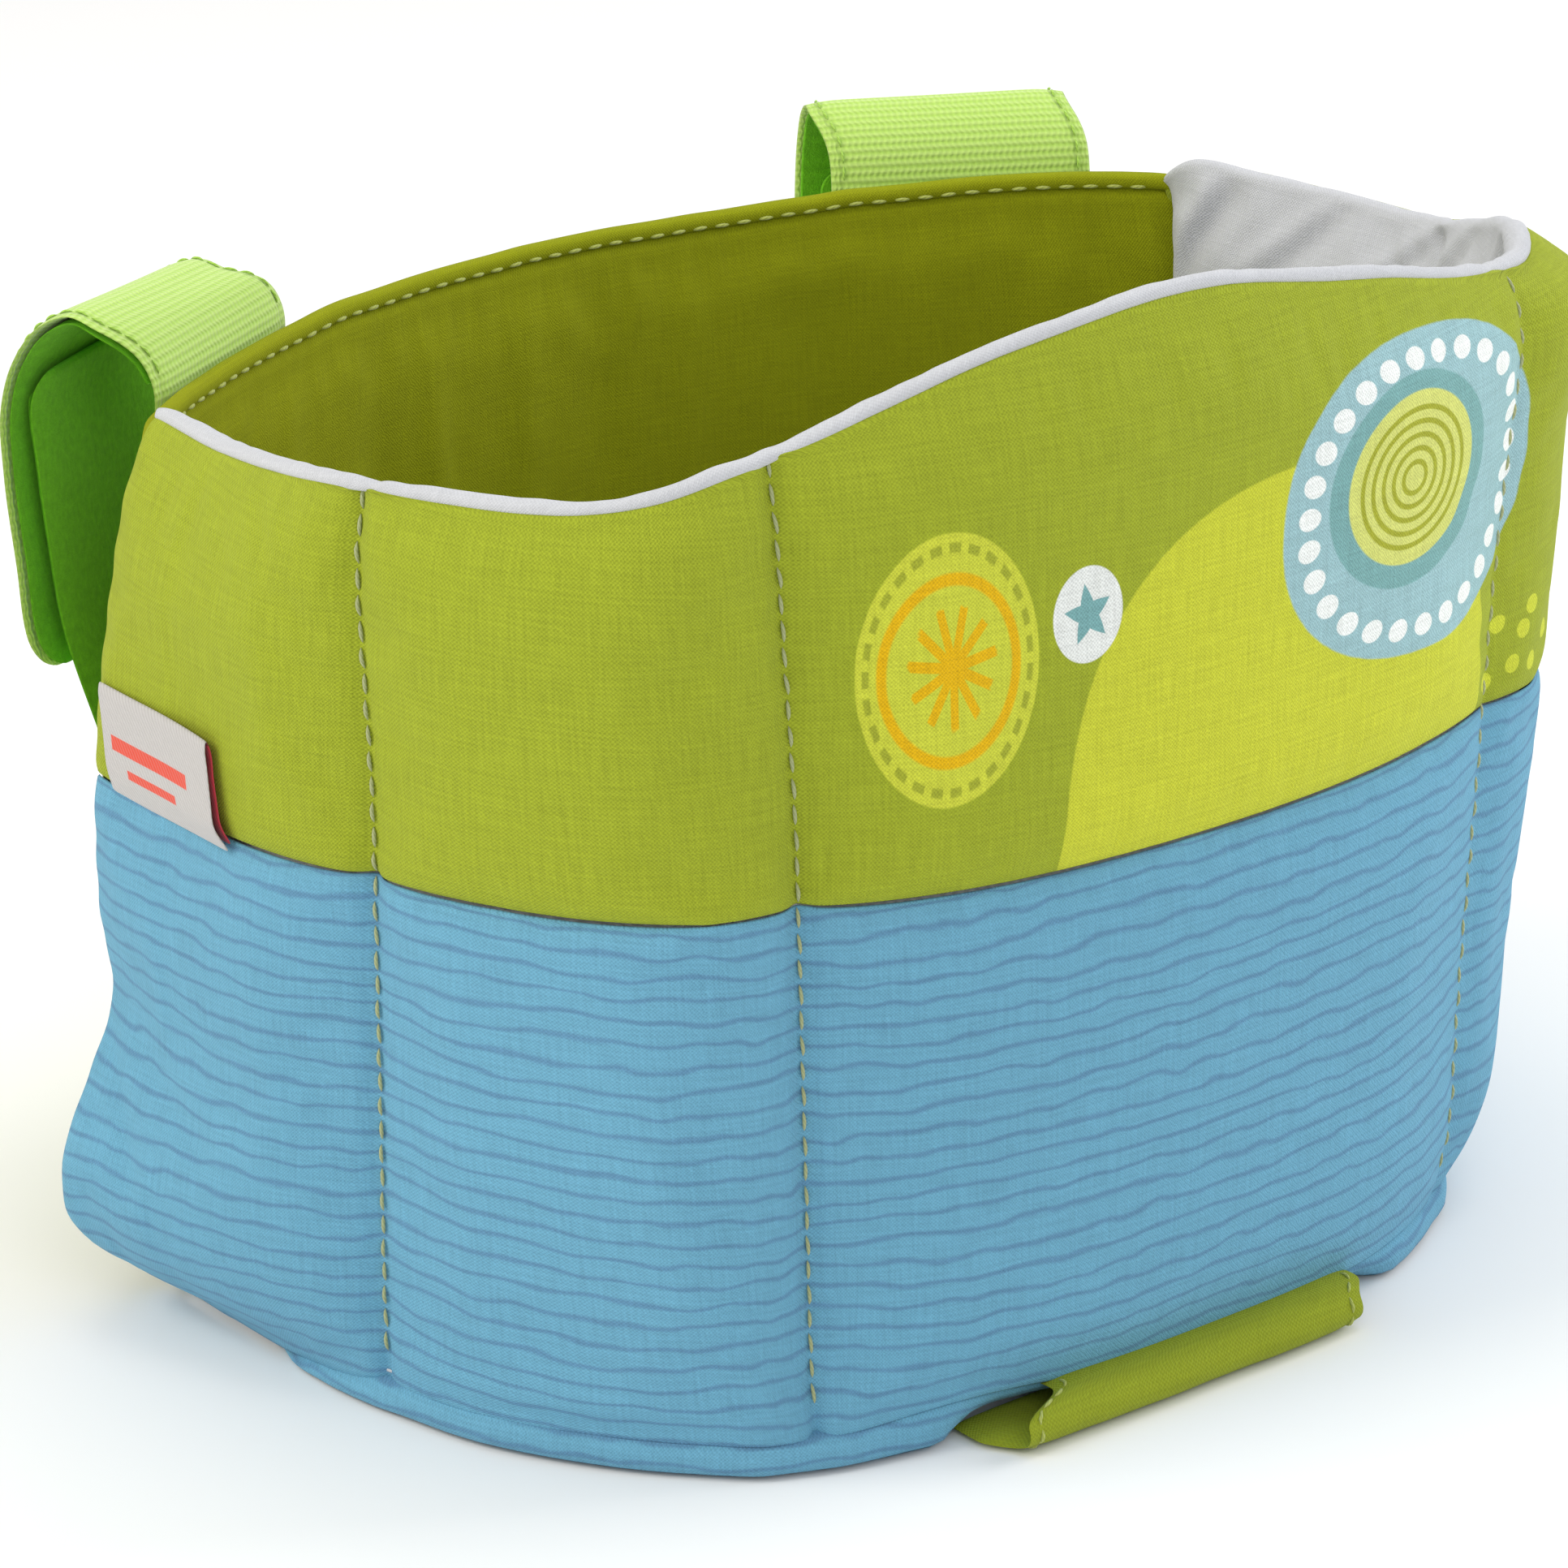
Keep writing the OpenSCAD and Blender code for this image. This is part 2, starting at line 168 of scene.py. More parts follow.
def wall_point(t, z, depth):
    """Points at a depth under the wall's outline; t, z and depth are arrays of one shape."""
    t, z, depth = np.broadcast_arrays(np.asarray(t, float), z, depth)
    shape = t.shape
    t, z, depth = t.ravel(), z.ravel(), depth.ravel()
    p = wall_xy(t, z) + inward(t, z) * depth[:, None]
    return np.concatenate([p, z[:, None]], -1).reshape(*shape, 3)


RIM_HALF = [RIM_FRONT, RIM_FRONT * 0.68 + RIM_CORNER * 0.32, RIM_CORNER, RIM_CORNER - 2.2, RIM_SIDE,
            RIM_BACK]


# The sewn rim waves a little about its drawn line, and the right side stands higher than the left.
SWAY_AT = [-181, -165, -150, -130, -95, -70, -54, -24, 0, 20, 40, 62, 70, 80, 92, 101, 112, 125, 148, 165, 176, 181]
SWAY = [-1.2, -1.8, -0.9, 0.4, 0.8, 2.8, 3.6, 3.1, 2.2, 1.1, 1.8, 3.4, 3.8, 5.4, 6.9, 6.0, 3.2, 0.5, 1.1, 2.5, 2.4,
        -0.8]


def wall_top(t):
    return spline(KNOTS, RIM_HALF[:0:-1] + RIM_HALF, t) - BEAD + spline(SWAY_AT, SWAY, t)


def front_zone(t):
    return 1 - smooth((np.abs(t) - 33) / 12)


def wall_bottom(t):
    return spline([-181, -140, -122, -100, -62, -36, -20, 20, 62, 90, 181],
                  [1.4, 1.6, 4.0, 4.8, 5.0, 6.6, 5.6, 5.6, 5.0, 4.0, 3.0], t)


def foot(t):
    """How far inside the wall's outline the bag meets the ground; it spreads at the left front corner."""
    return spline([-181, -170, -150, -138, -128, -120, -108, -98, -85, -74, -60, -45, 0, 50, 60, 66, 80, 95, 120, 181],
                  [6.2, 5.2, 4.4, 3.2, 1.0, -0.7, -3.4, -3.0, -1.0, -0.6, -2.0, -1.6, -0.8, -0.5, 1.2, 2.4, 4.0, 3.0,
                   2.5, 3.0], t)


def seam_distance(t):
    return np.abs(np.asarray(t)[..., None] - MARKS).min(-1)


def near_top(t, z):
    return np.clip(1 - (wall_top(t) - z) / 14, 0, 1) ** 2


def seam_pull(t):
    """How deep each quilted seam is drawn in, from left to right."""
    return spline([-123, -122, -64, -62, 62, 64, 122, 123], [2.3, 2.3, 1.9, 1.9, 0.3, 0.3, 1.8, 1.8], t)


def corner_lean(t, z):
    """The rim of the right front corner leans in over the fuller side below it."""
    return 4.0 * bell(t - 91, 22) * np.clip(1 - (wall_top(t) - z) / 9, 0, 1.1) ** 2


def outer_depth(t, z):
    """The outside of the padding: full between the seams, pinched at them, closed at the rim and foot."""
    d = seam_distance(t)
    end = WALL_END - np.abs(t)
    quilted = end > 20
    corner = bell(t - 88, 24)
    inset = 2.2 * np.clip(1 - (wall_top(t) - z) / (14 - 8 * corner), 0, 1) ** 2
    inset = inset + (foot(t) + 0.5) * np.clip(1 - (z - wall_bottom(t)) / 16, 0, 1) ** 1.7
    inset = inset + 1.6 * corner * bell(z - 38, 26)
    side = smooth((t - 70) / 30)
    full = (1.5 + 0.7 * side) * (1 - np.exp(-d / np.where(quilted, 8, 3.5)))
    full = full * smooth((z - 4) / 22) * smooth((wall_top(t) - z + 4 + 6 * corner) / 18)
    full = full + 1.5 * corner * bell(wall_top(t) - z - 11, 9)
    full = full - 2.3 * smooth((t - 82) / 14) * bell(z - 116, 20)
    pinch = np.where(quilted, seam_pull(t) * np.exp(-d / 1.9), -0.2)
    pucker = 0.16 * np.sin(z * CYCLE / 7.2 + 4 * np.sign(t)) * np.exp(-d / 3.5)
    crease = 0.35 * np.exp(-np.abs(z - border(t)) / 0.7)
    return inset - full + pinch + pucker + crease + corner_lean(t, z)


def seam_drift(t, z):
    """The quilted seams wander a little sideways towards the rim."""
    up = smooth((z - 84) / 52)
    return up * (2.7 * bell(t - 64, 14) - 2.4 * bell(t + 122, 14) - 1.5 * bell(t + 64, 14))


def border(t):
    """Height of the seam between the two colours."""
    return BORDER_Z + 1.2 * bell(t + 74, 22)


def inner_depth(t, z):
    d = seam_distance(t)
    thick = WALL_T - (WALL_T - RIM_T) * near_top(t, z)
    close = np.exp(-(WALL_END - np.abs(t)) / (3.2 - 2.2 * smooth((wall_top(t) - z - 1) / 10)))
    full = 1.0 * (1 - np.exp(-d / 9)) * smooth((wall_top(t) - z) / 20)
    pinch = 1.4 * np.exp(-d / 1.9)
    return 2.2 * near_top(t, z) + corner_lean(t, z) + (thick + full - pinch) * (1 - close) + 0.9 * close


def back_point(s, z, depth):
    """Points of the bowed back panel; s runs from -1 at the left corner to 1."""
    s, z, depth = np.broadcast_arrays(np.asarray(s, float), z, depth)
    half = corner_half(z)
    r = (half**2 + BACK_BOW**2) / (2 * BACK_BOW)
    a = s * 2 * np.arctan(BACK_BOW / half)
    q = r - depth
    return np.stack([q * np.sin(a), CORNER_Y + BACK_BOW - r + q * np.cos(a), z], -1)


# ---------------------------------------------------------------- meshes
def grid_faces(n, m, wrap=False, flip=False):
    i, j = grid(np.arange(n - 1), np.arange(m if wrap else m - 1))
    k = (j + 1) % m
    quads = np.stack([i * m + j, (i + 1) * m + j, (i + 1) * m + k, i * m + k], -1).reshape(-1, 4)
    return (quads[:, ::-1] if flip else quads).tolist()


def rungs(start, m, flip=False):
    """Quads that close a ring made of two rails, one there and one back."""
    quads = [[start + j, start + j + 1, start + m - 2 - j, start + m - 1 - j] for j in range(m // 2 - 1)]
    return [q[::-1] for q in quads] if flip else quads


def band_faces(rows, m):
    """The faces of a closed band of that many rings of m points."""
    return grid_faces(rows, m, wrap=True) + rungs(0, m, flip=True) + rungs((rows - 1) * m, m)


def fan(start, m, centre, flip=False):
    """Triangles from a ring of m points to one more point."""
    tris = [[start + j, start + (j + 1) % m, centre] for j in range(m)]
    return [t[::-1] for t in tris] if flip else tris


def add(name, data):
    """A new object in the scene, of a mesh, a lamp or a camera."""
    obj = bpy.data.objects.new(name, data)
    bpy.context.scene.collection.objects.link(obj)
    return obj


def make(name, points, faces, material, cloth, closed=False):
    """An object from points in millimetres, with its cloth coordinates (mm along, mm across)."""
    points, cloth = np.reshape(points, (-1, 3)), np.reshape(cloth, (-1, np.shape(cloth)[-1]))
    mesh = bpy.data.meshes.new(name)
    mesh.from_pydata((points * MM).tolist(), [], faces)
    flat = np.zeros((len(points), 3), np.float32)
    flat[:, : cloth.shape[1]] = cloth
    mesh.attributes.new("cloth", "FLOAT_VECTOR", "POINT").data.foreach_set("vector", flat.ravel())
    mesh.materials.append(material)
    if closed:
        work = bmesh.new()
        work.from_mesh(mesh)
        bmesh.ops.recalc_face_normals(work, faces=work.faces)
        work.to_mesh(mesh)
        work.free()
    mesh.shade_smooth()
    return add(name, mesh)


def soften(obj):
    m = obj.modifiers.new("smooth", "SUBSURF")
    m.levels = m.render_levels = 1
    return obj


def fabric(obj, thickness, soft=True):
    """Gives a sheet its thickness, under its face, and smooths it."""
    m = obj.modifiers.new("thickness", "SOLIDIFY")
    m.thickness, m.offset, m.use_even_offset = thickness * MM, -1, False
    return soften(obj) if soft else obj


def stand_in(obj, slot, *nodes, body=None):
    """A piece takes the place of its CAD nodes and rides on a body; the slot argument is not used."""
    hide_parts(*nodes)
    if body:
        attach(obj, body)


def place_mm(*point):
    return tuple(np.array(point) * MM)


def simulate(points, faces, pins, pressure, grow, cap, sink=0.5, frames=16):
    """Cloth held at its pinned points, blown out along its normals and slightly too big for its place.
    It moves by cap at most, and by sink towards what it rests on.
    The mesh is simulated at ten times its size, where the solver's default units suit it."""
    shape = points.shape
    rest = points.reshape(-1, 3)
    mesh = bpy.data.meshes.new("cloth_work")
    mesh.from_pydata((rest * MM * 10).tolist(), [], faces)
    obj, scene = add("cloth_work", mesh), bpy.context.scene
    group = obj.vertex_groups.new(name="pins")
    weights = np.ravel(pins)
    for level in np.unique(np.round(weights, 2)):
        if level > 0:
            group.add(np.flatnonzero(np.round(weights, 2) == level).tolist(), float(level), "REPLACE")
    mod = obj.modifiers.new("cloth", "CLOTH")
    s = mod.settings
    s.quality, s.mass, s.air_damping = 5, 0.3, 2.0
    s.tension_stiffness = s.compression_stiffness = 20
    s.shear_stiffness, s.bending_stiffness = 8, 0.8
    s.tension_damping = s.compression_damping = s.shear_damping = 8
    s.vertex_group_mass, s.pin_stiffness = "pins", 1.0
    s.use_pressure, s.uniform_pressure_force = True, pressure
    s.shrink_min = -grow
    s.effector_weights.gravity = 0
    mod.collision_settings.use_collision = False
    mod.point_cache.frame_start, mod.point_cache.frame_end = 1, frames
    for f in range(1, frames + 1):
        scene.frame_set(f)
    done = obj.evaluated_get(bpy.context.evaluated_depsgraph_get())
    co = np.zeros(len(rest) * 3, np.float32)
    done.to_mesh().vertices.foreach_get("co", co)
    moved = co.reshape(-1, 3).astype(float) / (MM * 10) - rest
    normals = np.zeros(len(rest) * 3, np.float32)
    mesh.vertices.foreach_get("normal", normals)
    normals = normals.reshape(-1, 3)
    bpy.data.objects.remove(obj)
    scene.frame_set(1)
    rise = (moved * normals).sum(1, keepdims=True)
    moved += normals * (np.maximum(rise, -sink) - rise)
    far = np.linalg.norm(moved, axis=1, keepdims=True)
    moved *= np.minimum(1, np.reshape(cap, (-1, 1)) / np.maximum(far, 1e-9))
    return (rest + moved).reshape(shape)


def stitches(name, path, up, material, pitch=3.6, length=2.9, width=0.55, sink=0.15, tilt=0.0):
    """Separate stitches along a line of points, each a small arched bead of thread."""
    path, up = np.asarray(path, float), np.asarray(up, float)
    along = run_length(path)
    verts, faces, cloth = [], [], []
    rings, sides = 7, 8

    def at(line, s):
        return np.array([np.interp(s, along, line[:, c]) for c in range(3)])

    for k in range(max(1, int((along[-1] - 0.5) / pitch))):
        centre = (k + 0.5) * pitch
        r = np.random.default_rng(1000 + k)
        lean = tilt + r.uniform(-0.05, 0.05)
        for i in range(rings):
            f = i / (rings - 1) * 2 - 1
            s = centre + f * length / 2
            p, n, a = at(path, s), at(up, s), at(path, s + 0.4) - at(path, s - 0.4)
            n, a = n / np.linalg.norm(n), a / max(np.linalg.norm(a), 1e-9)
            b = np.cross(n, a)
            radius = width / 2 * max(0.12, (1 - abs(f) ** 3.2))
            lift = (1 - f * f) * width * 0.45 - sink
            base = p + n * lift + b * (lean * f * length / 2)
            for j in range(sides):
                w = CYCLE * j / sides
                verts.append(base + n * radius * np.sin(w) + b * radius * np.cos(w))
                cloth.append((s, w * width / 2))
        start = k * rings * sides
        faces += [[start + q for q in f] for f in grid_faces(rings, sides, wrap=True, flip=True)]
        faces.append([start + j for j in range(sides)])
        faces.append([start + (rings - 1) * sides + j for j in reversed(range(sides))])
    return make(name, verts, faces, material, cloth, closed=True)


# ---------------------------------------------------------------- materials
class Value:
    """A number in a material's node tree, with ordinary arithmetic."""

    def __init__(self, net, socket):
        self.net, self.socket = net, socket

    def __add__(self, o): return self.net.op("ADD", self, o)
    def __radd__(self, o): return self.net.op("ADD", o, self)
    def __sub__(self, o): return self.net.op("SUBTRACT", self, o)
    def __rsub__(self, o): return self.net.op("SUBTRACT", o, self)
    def __mul__(self, o): return self.net.op("MULTIPLY", self, o)
    def __rmul__(self, o): return self.net.op("MULTIPLY", o, self)
    def __truediv__(self, o): return self.net.op("DIVIDE", self, o)
    def __pow__(self, o): return self.net.op("POWER", self, o)


class Net:
    """A fabric material: cloth coordinates in, colour, roughness and relief out."""

    def __init__(self, name):
        self.material = bpy.data.materials.new(name)
        self.material.use_nodes = True
        self.tree = self.material.node_tree
        self.tree.nodes.clear()
        place = self.node("Attribute")
        place.attribute_name = "cloth"
        split = self.node("SeparateXYZ")
        self.put(split.inputs[0], place.outputs["Vector"])
        self.u, self.v = Value(self, split.outputs[0]), Value(self, split.outputs[1])

    def node(self, kind):
        return self.tree.nodes.new("ShaderNode" + kind)

    def put(self, socket, value):
        if isinstance(value, Value):
            value = value.socket
        if isinstance(value, bpy.types.NodeSocket):
            self.tree.links.new(value, socket)
        elif value is not None:
            socket.default_value = value

    def fill(self, node, inputs):
        for name, value in inputs.items():
            self.put(node.inputs[name], value)

    def op(self, kind, *values):
        n = self.node("Math")
        n.operation = kind
        for s, v in zip(n.inputs, values):
            self.put(s, v)
        return Value(self, n.outputs[0])

    def sin(self, v): return self.op("SINE", v)
    def abs(self, v): return self.op("ABSOLUTE", v)
    def higher(self, a, b): return self.op("MAXIMUM", a, b)
    def part(self, v): return self.op("FRACT", v)

    def inside(self, v, edge, soft=0.12):
        """1 where v is under edge, 0 over it, with a soft step."""
        n = self.node("MapRange")
        n.interpolation_type = "SMOOTHSTEP"
        self.fill(n, {"Value": v, "From Min": edge + soft, "From Max": edge - soft})
        return Value(self, n.outputs["Result"])

    def length(self, a, b):
        return self.op("SQRT", a * a + b * b)

    def noise(self, scale_u, scale_v, detail=2.0, rough=0.5, seed=0.0):
        """Noise over the cloth, with its grain scale in cycles per millimetre; 0 to 1."""
        n = self.node("CombineXYZ")
        self.fill(n, {0: self.u * scale_u, 1: self.v * scale_v, 2: seed})
        t = self.node("TexNoise")
        self.fill(t, {"Scale": 1.0, "Detail": detail, "Roughness": rough, "Vector": n.outputs[0]})
        return Value(self, t.outputs[0])

    def mix(self, a, b, amount):
        """From colour a to colour b; each is a socket or a code."""
        n = self.node("Mix")
        n.data_type, n.blend_type = "RGBA", "MIX"
        self.put(n.inputs[0], amount)
        for s, v in ((n.inputs[6], a), (n.inputs[7], b)):
            self.put(s, (*rgb(v), 1.0) if isinstance(v, str) else v)
        return Value(self, n.outputs[2])

    def shade(self, colour, value):
        """The colour made lighter or darker: value is around 1."""
        n = self.node("VectorMath")
        n.operation = "SCALE"
        self.fill(n, {0: colour, "Scale": value})
        return Value(self, n.outputs[0])

    def finish(self, colour, rough, height, depth, sheen=0.25, tint=(1, 1, 1), specular=0.25):
        bsdf, out, bump = self.node("BsdfPrincipled"), self.node("OutputMaterial"), self.node("Bump")
        self.fill(bump, {"Strength": 1.0, "Distance": depth * MM, "Height": height})
        self.fill(bsdf, {"Base Color": colour, "Roughness": rough, "Sheen Weight": sheen, "Sheen Roughness": 0.5,
                         "Sheen Tint": (*tint, 1), "Specular IOR Level": specular, "Normal": bump.outputs[0]})
        self.fill(out, {"Surface": bsdf.outputs[0]})
        return self.material


def rgb(code):
    """A colour written as in a paint list, as linear light."""
    c = [int(code[i:i + 2], 16) / 255 for i in (0, 2, 4)]
    return tuple(x / 12.92 if x <= 0.04045 else ((x + 0.055) / 1.055) ** 2.4 for x in c)


def weave(net, pitch):
    """Relief of a plain weave: threads over and under, with uneven thickness."""
    k = CYCLE / pitch
    wobble = net.noise(0.9, 0.9, 1.0) * 0.5
    cross = net.sin((net.u + wobble) * k) * net.sin((net.v + wobble) * k)
    slub_u = net.noise(0.12, 2.4, 2.0, seed=3.0)
    slub_v = net.noise(2.4, 0.12, 2.0, seed=8.0)
    return cross * 0.5 + 0.5, slub_u, slub_v


def woven_tone(net, cloth, slubs, threads, clouds=0.10):
    """Lighter and darker places of a weave: uneven threads, single threads and wide clouds."""
    cross, a, b = cloth
    return (1.0 + ((a + b) - 1.0) * slubs + (cross - 0.5) * threads
            + (net.noise(0.03, 0.03, 3.0) - 0.5) * clouds)


def plain_cloth(name, colour, pitch=0.55, mottle=0.16, rough=0.85, depth=0.10, sheen=0.2, specular=0.15):
    net = Net(name)
    cross, a, b = cloth = weave(net, pitch)
    tone = woven_tone(net, cloth, mottle * 1.6, mottle * 1.5)
    base = net.shade(net.mix(colour, colour, 0.0), tone)
    return net.finish(base, net.noise(0.3, 0.3) * 0.15 + (rough - 0.08), cross * 0.7 + (a + b) * 0.4, depth,
                      sheen, tuple(min(1.0, 0.4 + c) for c in rgb(colour)), specular)


def printed_cotton():
    """Olive green cotton with generic printed shapes: a hill, discs, rings, dots and a star."""
    net = Net("printed_cotton")
    u, v = net.u, net.v
    cross, a, b = cloth = weave(net, 0.55)
    wob = (net.noise(0.5, 0.5, 2.0, seed=5.0) - 0.5) * 0.5
    colour = net.mix("99a62a", "99a62a", 0.0)

    def lay(tone, mask):
        nonlocal colour
        colour = net.mix(colour, tone, mask)

    def disc(x, y, rx, ry, turn=0.0):
        """Distance from a disc's centre, 1 at its edge."""
        dx, dy = u - x, v - y
        if turn:
            c, s = math.cos(turn), math.sin(turn)
            dx, dy = dx * c + dy * s, dy * c - dx * s
        return dx / rx, dy / ry

    # hill
    hx = net.higher((18.0 - u) / 44.7, (u - 18.0) / 41.8)
    hy = net.higher((v - 78.0) / 50.5, 0.0)
    lay("c4ca38", net.inside(net.higher(hx, 0.0) ** 2.6 + hy ** 2.6 + wob * 0.02, 1.0, 0.012))

    # dashed disc with a burst
    dx, dy = disc(-43.6, 111.5, 12.7, 18.3)
    r = net.length(dx, dy)
    turn = net.op("ARCTAN2", dy, dx)
    lay("c6cd40", net.inside(r + wob * 0.02, 1.0, 0.012))
    dash = net.inside(net.abs(net.part(turn * (27 / CYCLE)) - 0.5), 0.30, 0.04)
    lay("a0a832", net.inside(net.abs(r - 0.895), 0.035, 0.012) * dash)
    orange = "dfb20e"
    lay(orange, net.inside(net.abs(net.length(*disc(-43.6, 111.5, 10.0, 13.2)) - 0.93), 0.065, 0.02))
    bx, by = disc(-43.3, 111.9, 6.3, 8.6)
    p = net.length(bx, by)
    spokes = net.abs(net.part(net.op("ARCTAN2", by, bx) * (11 / CYCLE) + 0.2) - 0.5)
    lay(orange, net.inside(p + (net.noise(0.4, 0.4, seed=11.0) - 0.5) * 0.35, 0.97, 0.03)
        * net.inside(spokes * p, 0.155, 0.02))
    lay(orange, net.inside(p, 0.26, 0.03))

    # small disc with a five-pointed star
    lay("e4e8e6", net.inside(net.length(*disc(-23.4, 115.6, 5.4, 6.5)), 1.0, 0.02))
    sx, sy = disc(-23.4, 115.6, 3.5, 4.0, 0.15)
    a5 = net.op("ARCTAN2", sx, sy) * (5 / CYCLE)
    saw = net.abs(net.part(a5 + 0.5) - 0.5) * 2
    lay("78a9ac", net.inside(net.length(sx, sy) * (0.62 + saw * 0.75), 0.66, 0.03))

    # dotted medallion with rings
    square, dots, dots_at, mean_radius = 2.3, 27, 0.84, 25.0
    mx, my = disc(39.4, 118.3, 30.0, 22.1, -0.08)
    m = (net.abs(mx) ** square + net.abs(my) ** square) ** (1 / square)
    lay("98bec6", net.inside(m + wob * 0.015, 1.0, 0.008))
    spin = net.op("ARCTAN2", my, mx) * (dots / CYCLE)
    around = (net.part(spin) - 0.5) * (CYCLE / dots * mean_radius * 0.86)
    across = (m - dots_at) * mean_radius
    lay("eef3f2", net.inside(net.length(around, across), 1.75, 0.12))
    lay("78a9ab", net.inside(net.length(*disc(35.6, 120.8, 17.7, 14.5)), 1.0, 0.012))
    ring = net.length(*disc(35.6, 121.1, 13.9, 11.7))
    lay("d0d676", net.inside(ring, 1.0, 0.014))
    lay("a3a830", net.inside(net.abs(net.part(ring * 6.45 + 0.34) - 0.5), 0.20, 0.06)
        * net.inside(ring, 0.86, 0.02) * net.inside(0.11 - ring, 0.0, 0.01))

    # loose dots round the corner
    for x, y in ((75, 92.5), (66, 91.5), (72.7, 89.5), (82, 87), (70.1, 85), (76.5, 84), (63.6, 83.5)):
        lay("c9d13c", net.inside(net.length(*disc(x, y, 1.75, 1.35)), 1.0, 0.08))

    colour = net.shade(colour, woven_tone(net, cloth, 0.36, 0.34))
    return net.finish(colour, net.noise(0.3, 0.3) * 0.15 + 0.78, cross * 0.7 + (a + b) * 0.4, 0.13, 0.12,
                      (0.8, 0.85, 0.4), specular=0.18)


def lined_twill():
    """Blue cotton with thin, uneven darker lines along it."""
    net = Net("blue_twill")
    u, v = net.u, net.v
    cross, a, b = cloth = weave(net, 0.5)
    wave = (net.noise(0.022, 0.05, 1.0, seed=2.0) - 0.5) * 4.0 + (net.noise(0.13, 0.16, 1.0, seed=6.0) - 0.5) * 2.4
    line = net.abs(net.part((v + wave) / 3.12) - 0.5)
    width = 0.075 + (net.noise(0.08, 0.3, 1.0, seed=9.0) - 0.5) * 0.14
    mask = net.inside(line - width, 0.03, 0.09)
    colour = net.mix("69a4c0", "5a86a8", mask * 0.8)
    tone = woven_tone(net, cloth, 0.30, 0.26, 0.08)
    ribs = net.sin((u + v) * (CYCLE / 0.9)) * 0.5 + 0.5
    return net.finish(net.shade(colour, tone), net.noise(0.3, 0.3) * 0.12 + 0.76,
                      cross * 0.55 + ribs * 0.3 + (a + b) * 0.35, 0.12, 0.12, (0.6, 0.8, 1.0), specular=0.2)


def webbing():
    """Lime webbing: fine cross ribs with a waffle of short floats, with a painted highlight of lighter lime on the rib
    crests.
    """
    net = Net("green_webbing")
    u, v = net.u, net.v
    rib_and_highlight = net.sin(u * (CYCLE / 1.15)) * 0.5 + 0.5
    cord = net.sin(v * (CYCLE / 0.95) + net.sin(u * (math.pi / 1.15)) * 1.2) * 0.5 + 0.5
    fibre = net.noise(3.0, 1.2, 3.0, 0.6)
    edge = net.inside(net.abs(net.abs(v) - 18.1), 0.5, 0.3)
    # Painted highlight: the colour turns lighter lime on the rib crests, where light would catch them.
    colour = net.mix("a9d450", "cfe88a", rib_and_highlight * 0.40 + fibre * 0.35)
    tone = 0.90 + cord * 0.12 + (fibre - 0.5) * 0.18 - edge * 0.08
    return net.finish(net.shade(colour, tone), 0.62 + fibre * 0.2, rib_and_highlight * 0.6 + cord * 0.5 + fibre * 0.3 - edge * 0.6,
                      0.16, 0.5, (0.9, 1.0, 0.7), specular=0.3)


def pile(name):
    """Brushed loop pile inside the straps."""
    net = Net(name)
    fuzz = net.noise(2.2, 2.2, 5.0, 0.75)
    tufts = net.noise(0.7, 0.9, 3.0, 0.6, seed=4.0)
    colour = net.mix("52a810", "88d830", fuzz * 0.6 + tufts * 0.4)
    return net.finish(net.shade(colour, 0.75 + tufts * 0.5), 0.9, fuzz + tufts * 0.6, 0.35, 0.3,
                      (0.6, 1.0, 0.3), specular=0.05)


def thread(name, colour):
    net = Net(name)
    twist = net.sin((net.u * 1.0 + net.v * 1.6) * (CYCLE / 0.9)) * 0.5 + 0.5
    fluff = net.noise(2.5, 2.5, 3.0)
    return net.finish(net.shade(net.mix(colour, colour, 0.0), 0.8 + twist * 0.25 + fluff * 0.15), 0.6 + fluff * 0.2,
                      twist * 0.7 + fluff * 0.4, 0.07, 0.3)


def label_tape():
    """White satin tape, with plain red bars in place of any lettering."""
    net = Net("label_tape")
    u, v = net.u, net.v
    twill = net.sin((u + v * 0.7) * (CYCLE / 0.8)) * 0.5 + 0.5
    warp = net.noise(0.3, 3.0, 2.0)
    colour = net.mix("bfbcbb", "aba8a7", twill * 0.7)
    for low, high, half in ((6.2, 8.2, 9.5), (3.2, 4.4, 6.0)):
        bar = net.inside(v, high, 0.1) * net.inside(low - v, 0.0, 0.1) * net.inside(net.abs(u), half, 0.1)
        colour = net.mix(colour, "d8452c", bar)
    colour = net.mix(colour, "b5263a", net.inside(25.0 - v, 0.0, 0.5))
    return net.finish(net.shade(colour, 0.94 + warp * 0.12), 0.5 + warp * 0.15, twill * 0.6 + warp * 0.3, 0.10,
                      0.2, specular=0.4)


PRINT, TWILL, WEB, PILE, TAPE = printed_cotton(), lined_twill(), webbing(), pile("green_pile"), label_tape()
BRUSHED = pile("brushed_webbing")
GREY = plain_cloth("grey_lining", "c5c7cc", 0.5, 0.10, 0.8, 0.10, 0.1)
OLIVE = plain_cloth("olive_lining", "8c930a", 0.55, 0.18, 0.85, 0.10, 0.02)
TAB_CLOTH = plain_cloth("tab_cotton", "8c9824", 0.55, 0.18, 0.85, 0.10, 0.1)
WADDING = plain_cloth("wadding", "f0f0ec", 1.6, 0.10, 0.95, 0.30, 0.4)
SEAM_THREAD = thread("seam_thread", "a3aa7c")
RIM_THREAD = thread("rim_thread", "a7b055")
STRAP_THREAD = thread("strap_thread", "a6cf52")


# ---------------------------------------------------------------- camera, light and floor
CAMERA_AT, CAMERA_TURN, CAMERA_DIP, LENS = (-0.51577, -0.62307, 0.37787), 0.6795, 0.3701, 140.86
